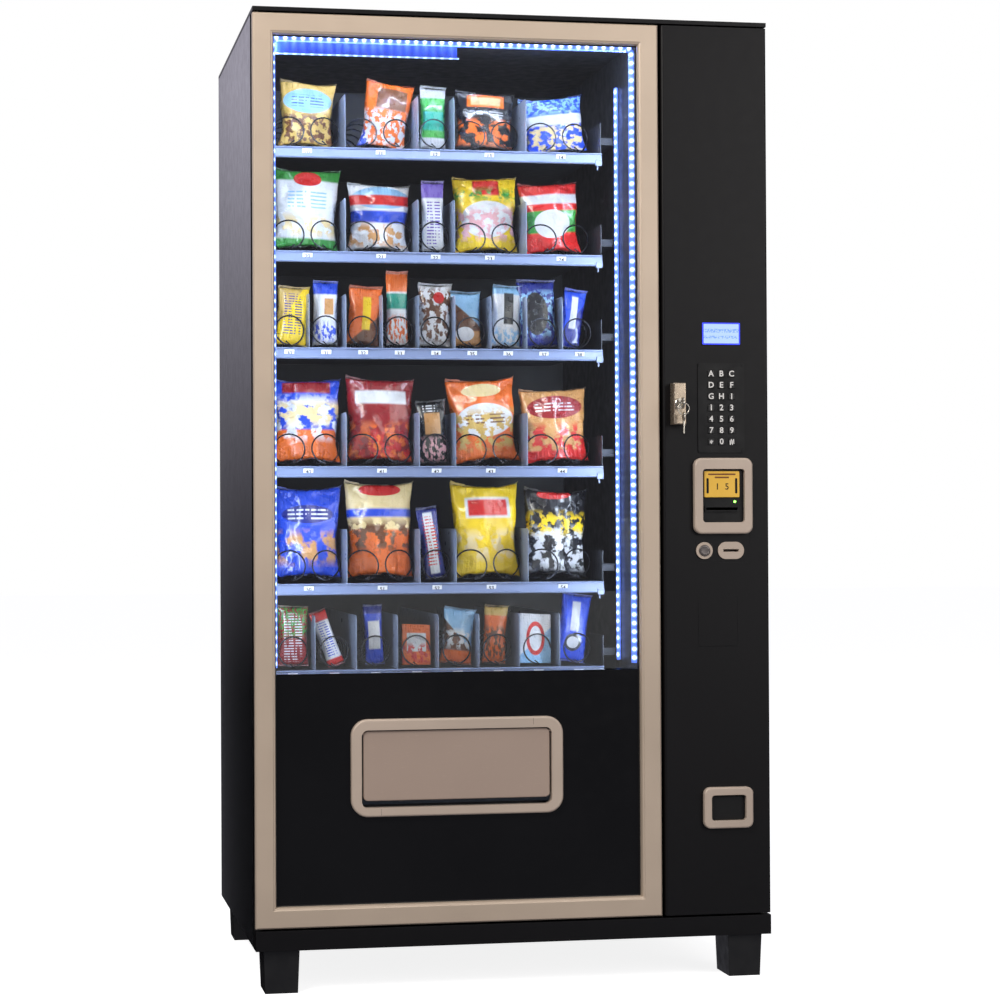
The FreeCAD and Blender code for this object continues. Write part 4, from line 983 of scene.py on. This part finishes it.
# ---- glass door ---------------------------------------------------------------------------------
def make_door_trim():
    """The bead and gasket inside the door frame, and the seams of the delivery bezel as thin strips of
    painted shade.
    """
    x0, x1 = DOOR_LOW.x + FRAME_MEMBER, DOOR_HIGH.x - FRAME_MEMBER
    z0, z1 = DOOR_LOW.z + FRAME_MEMBER, DOOR_HIGH.z - FRAME_MEMBER
    bead = [(-1.5 * MM, FRONT + 1.2 * MM), (1.4 * MM, FRONT + 2.4 * MM), (3.0 * MM, FRONT + 6.0 * MM),
            (3.4 * MM, FRONT + 15.0 * MM), (-1.5 * MM, FRONT + 15.0 * MM)]
    ring_piece("frame_bead", x0, x1, z0, z1, 0.5 * MM, bead, CHAMPAGNE, "glass_door")
    gasket = [(0.0, FRONT + 15.0 * MM), (5.0 * MM, FRONT + 15.5 * MM), (5.6 * MM, FRONT + 17.9 * MM),
              (0.0, FRONT + 17.9 * MM)]
    ring_piece("frame_gasket", x0, x1, z0, z1, 0.5 * MM, gasket, RUBBER, "glass_door")
    low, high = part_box("delivery_bezel")
    for name, x, z in (("bezel_seam_top", low.x + 347 * MM, high.z - 9 * MM),
                       ("bezel_seam_foot", low.x + 56 * MM, low.z + 9 * MM)):
        plate_piece(name, x, z, 0.5 * MM, 12 * MM, 0.2 * MM, low.y - 0.05 * MM, low.y + 0.4 * MM, PAINTED_SHADE_GAP,
                    "glass_door", 0.05 * MM)


# ---- control column -----------------------------------------------------------------------------
CHARACTERS = {"star": "*", "hash": "#"}


def make_keypad():
    for node in KEYS:
        centre = middle(node)
        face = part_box(node)[0].y
        name = node[4:]
        text = CHARACTERS.get(name, name.upper())
        drop = -3.4 * MM if name == "star" else 0.0
        text_piece("character_" + name, text, centre.x, face - 0.05 * MM, centre.z + drop, 15.5 * MM,
                   CHARACTER_WHITE, node, 0.3 * MM)


DOT_PITCH = 1.6 * MM


def screen_material():
    """A lit screen: pale blue with rows of small dots that stand for a message."""
    paint = Paint("screen_glow", srgb(60, 110, 230), 0.25)
    x, _, z = paint.split(paint.coords())
    cell_x = paint.math("SNAP", x, DOT_PITCH)
    cell_z = paint.math("SNAP", z, DOT_PITCH)
    cell = paint.node("CombineXYZ", {"X": cell_x, "Y": 0.0, "Z": cell_z}).outputs["Vector"]
    speckle = paint.node("TexWhiteNoise", {"Vector": cell}).outputs["Value"]
    low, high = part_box("display_module")
    share = paint.range(z, low.z, high.z)
    rows = []
    for foot, head in ((0.54, 0.70), (0.28, 0.40)):
        above = paint.range(share, foot, foot + 0.02)
        below = paint.range(share, head, head + 0.02, 1.0, 0.0)
        rows.append(paint.times(above, below))
    dots = paint.times(paint.range(speckle, 0.45, 0.5), paint.math("MAXIMUM", *rows))
    paint.feed("Emission Color", paint.mix(dots, srgb(176, 194, 255), srgb(112, 140, 246)))
    paint.set("Emission Strength", 1.0)
    return paint.material


def make_display():
    low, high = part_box("display_module")
    x, z = (low.x + high.x) / 2, (low.z + high.z) / 2
    edge = lit("screen_edge", (0.02, 0.04, 0.75, 1.0), 1.1)
    plate_piece("display_surround", x, z, 75 * MM, 42 * MM, 1.5 * MM, low.y - 0.5 * MM, low.y + 0.5 * MM,
                edge, "control_door", 0.3 * MM)
    plate_piece("display_screen", x, z, 69.5 * MM, 37 * MM, 1.0 * MM, low.y - 0.9 * MM, low.y,
                screen_material(), "control_door", 0.2 * MM)


def make_bill_unit():
    """The yellow guide plate, its two slots as dark plates of painted shade, its marks and bars, and the
    ready light.
    """
    low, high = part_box("bill_bezel")
    x, z = (low.x + high.x) / 2 - 2.6 * MM, (low.z + high.z) / 2 + 22.5 * MM
    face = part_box("bill_acceptor")[0].y
    y = face + 0.5 * MM
    plate_piece("bill_guide_plate", x, z, 70 * MM, 50 * MM, 2 * MM, y, y + 3.5 * MM, GUIDE_YELLOW,
                "control_door", 0.5 * MM)
    # the two slots are flat plates of painted shade, not openings
    for name, side in (("bill_guide_slot_left", -1), ("bill_guide_slot_right", 1)):
        plate_piece(name, x + side * 28.3 * MM, z - 3 * MM, 4.5 * MM, 29 * MM, 1.5 * MM, y - 0.25 * MM,
                    y + 0.4 * MM, PAINTED_SHADE_GAP, "control_door", 0.1 * MM)
    for name, text, dx in (("bill_mark_one", "1", -9.0), ("bill_mark_five", "5", 10.0)):
        text_piece(name, text, x + dx * MM, y - 0.2 * MM, z - 5 * MM, 17 * MM, BLACK_PLASTIC,
                   "control_door", 0.1 * MM)
    for row in range(2):
        plate_piece("bill_guide_bar_%d" % row, x, z + (19 - 6 * row) * MM, (54 - 26 * row) * MM, 3 * MM,
                    0.5 * MM, y - 0.2 * MM, y + 0.2 * MM, GUIDE_INK, "control_door", 0.05 * MM)
    lathe_piece("bill_ready_light", (x + 26 * MM, face + 3 * MM, z - 33.5 * MM),
                ((2.2 * MM, 0.0), (2.2 * MM, -1.2 * MM), (1.2 * MM, -2.2 * MM)), READY_LED,
                "control_door")


def make_blanking_plate():
    """The faint plate that closes an unused opening between the coin slot and the coin cup."""
    plate_piece("blanking_plate", COLUMN_LEFT + 106.5 * MM, 682.5 * MM, 78 * MM, 97 * MM, 2 * MM,
                FRONT - 0.35 * MM, FRONT + 0.5 * MM, BLACK_PAINT, "control_door", 0.3 * MM)


def face_piece(name, node, profile, material):
    """A turned piece on the middle of a node's front face. Its profile is in mm."""
    centre = middle(node)
    centre.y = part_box(node)[0].y
    lathe_piece(name, centre, [(radius * MM, along * MM) for radius, along in profile], material, node)


def make_button_and_lock():
    face_piece("return_button_cap", "coin_return_button",
               ((9.6, 0.0), (9.0, -0.7), (7.6, -0.9), (7.0, -0.4), (0.5, -0.1)), BUTTON_GREY)
    face_piece("lock_collar", "lock_handle",
               ((10.0, 0.5), (10.0, -0.8), (9.0, -1.4), (6.6, -1.4), (6.2, 0.3)), KEY_STEEL)


# ---- rear ---------------------------------------------------------------------------------------
SCREW_HEAD = ((4.2, 0.0), (4.032, 0.8), (2.94, 1.5), (1.428, 1.8), (0.02, 1.2))


def screw_heads(name, places, material, body):
    """Pan-head screws that look along +Y, with a dimple in place of the recess."""
    bm = bmesh.new()
    for place in places:
        rings = turned(bm, place, [(radius * MM, rise * MM) for radius, rise in SCREW_HEAD], 16)
        bm.faces.new(rings[0])
    return add_piece(name, finish_mesh(bm, name), material, body)


def make_rear_details():
    low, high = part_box("rear_panel")
    inset = 14 * MM
    places = []
    for k in range(7):
        z = low.z + 40 * MM + k * (high.z - low.z - 80 * MM) / 6
        places += [(low.x + inset, high.y, z), (high.x - inset, high.y, z)]
    for k in range(1, 4):
        x = low.x + k * (high.x - low.x) / 4
        places += [(x, high.y, high.z - inset), (x, high.y, low.z + inset)]
    places = [(x, min(y, cad_high.y), z) for x, y, z in places]
    screw_heads("rear_screws", places, PIN_STEEL, "cabinet")


# ---- stage --------------------------------------------------------------------------------------
# the camera is the one that sees the cabinet's corners where the photo has them
CAMERA_PLACE = (-0.9544, -5.150, 0.8608)
CAMERA_YAW = math.radians(10.950)
CAMERA_PITCH = math.radians(0.6445)
CAMERA_ROLL = math.radians(-0.2805)
CAMERA_LENS = 92.76


def make_camera():
    flat = math.cos(CAMERA_PITCH)
    ahead = Vector((math.sin(CAMERA_YAW) * flat, math.cos(CAMERA_YAW) * flat, math.sin(CAMERA_PITCH)))
    level = Vector((math.cos(CAMERA_YAW), -math.sin(CAMERA_YAW), 0.0))
    upright = level.cross(ahead)
    right = level * math.cos(CAMERA_ROLL) + upright * math.sin(CAMERA_ROLL)
    up = upright * math.cos(CAMERA_ROLL) - level * math.sin(CAMERA_ROLL)
    data = bpy.data.cameras.new("camera")
    data.lens = CAMERA_LENS
    data.sensor_width = 36.0
    camera = new_object("camera", data)
    turn = Matrix((right, up, -ahead)).transposed().to_4x4()
    camera.matrix_world = Matrix.Translation(CAMERA_PLACE) @ turn
    bpy.context.scene.camera = camera


def studio_lamp(name, place, target, size, watts, color=(1, 1, 1)):
    glow_lamp(name, place, size, size, Vector(target) - Vector(place), watts, color)


def make_floor():
    """A plain white floor, partly self-lit so that only the shadow shows on it."""
    mesh = bpy.data.meshes.new("floor")
    bm = bmesh.new()
    bmesh.ops.create_grid(bm, x_segments=2, y_segments=2, size=30.0)
    bm.to_mesh(mesh)
    bm.free()
    mesh.materials.append(surface("floor_white", (0.62, 0.62, 0.63, 1.0), 0.9, vary=0.01, grain=200,
                                  depth=0.01, Emission_Color=(1, 1, 1, 1), Emission_Strength=0.86))
    floor = new_object("floor", mesh)
    floor.visible_glossy = False
    floor.visible_diffuse = False


def make_world():
    """White behind the machine, and darker surroundings for its reflections."""
    world = bpy.data.worlds.new("studio")
    world.use_nodes = True
    tree = world.node_tree
    path = tree.nodes.new("ShaderNodeLightPath")
    mix = tree.nodes.new("ShaderNodeMixRGB")
    mix.inputs["Color1"].default_value = (0.20, 0.20, 0.23, 1.0)
    mix.inputs["Color2"].default_value = (1.0, 1.0, 1.0, 1.0)
    tree.links.new(path.outputs["Is Camera Ray"], mix.inputs["Fac"])
    tree.links.new(mix.outputs["Color"], tree.nodes["Background"].inputs["Color"])
    bpy.context.scene.world = world


def make_side_card():
    """A studio card behind the left side, seen only in reflections: bright at the top, dark at the foot."""
    fade = Paint("side_card", (0, 0, 0, 1), 1.0, Specular_IOR_Level=0.0)
    height = fade.split(fade.coords())[2]
    fade.set("Emission Color", (0.88, 0.84, 1.0, 1.0))
    rise = fade.math("POWER", fade.range(height, 0.42, 1.95), 1.7)
    fade.feed("Emission Strength", fade.times(rise, 0.70))
    mesh = bpy.data.meshes.new("side_card")
    bm = bmesh.new()
    corners = [(-6.0, 1.3, -2.5), (-0.56, 1.3, -2.5), (-0.56, 1.3, 3.4), (-6.0, 1.3, 3.4)]
    bm.faces.new([bm.verts.new(c) for c in corners])
    bm.to_mesh(mesh)
    bm.free()
    mesh.materials.append(fade.material)
    card = new_object("side_card", mesh)
    card.visible_camera = False
    card.visible_diffuse = False
    card.visible_shadow = False
    card.visible_transmission = False


def make_lamps():
    studio_lamp("key_lamp", (-2.6, -3.6, 3.6), (-0.3, -0.38, 1.5), 1.8, 120.0, (1.0, 0.96, 0.92))
    studio_lamp("fill_lamp", (2.8, -4.5, 2.2), (0.0, 0.0, 0.9), 2.6, 80.0, (1.0, 0.97, 0.94))
    studio_lamp("top_lamp", (0.0, -0.5, 4.6), (0.0, 0.0, 1.8), 2.6, 60.0)
    studio_lamp("corner_lamp", (-1.5, -1.7, 2.2), (-0.5, -0.38, 1.45), 0.7, 14.0, (1.0, 0.93, 0.84))
    cold = (0.70, 0.81, 1.0)
    x0, x1 = LINER_LOW.x + 8 * MM, LINER_HIGH.x - 10 * MM
    y = LINER_LOW.y + 12 * MM
    z = LINER_HIGH.z - 14 * MM
    window_mid = (PANE_LOW.z + PANE_HIGH.z) / 2
    tall = PANE_HIGH.z - PANE_LOW.z - 20 * MM
    glow_lamp("glow_top", ((x0 + x1) / 2, y, z), x1 - x0 - 0.02, 0.02, (0, 0.45, -1), 5.2, cold)
    glow_lamp("glow_right", (x1 - 0.004, y, window_mid), 0.02, tall, (-1, 0.6, 0), 3.4, cold)
    glow_lamp("glow_left", (x0 + 0.002, y, window_mid), 0.02, tall, (1, 0.6, 0), 3.4, cold)


# ---- build --------------------------------------------------------------------------------------
make_camera()
make_floor()
make_world()
make_side_card()
make_lamps()
paint_cad_nodes()
make_light_strips()
make_light_guard()
make_rails()
make_tags()
make_tray_clips()
make_coils()
make_packets()
make_door_trim()
make_keypad()
make_display()
make_bill_unit()
make_blanking_plate()
make_button_and_lock()
make_rear_details()
bpy.context.scene.view_settings.view_transform = "Standard"
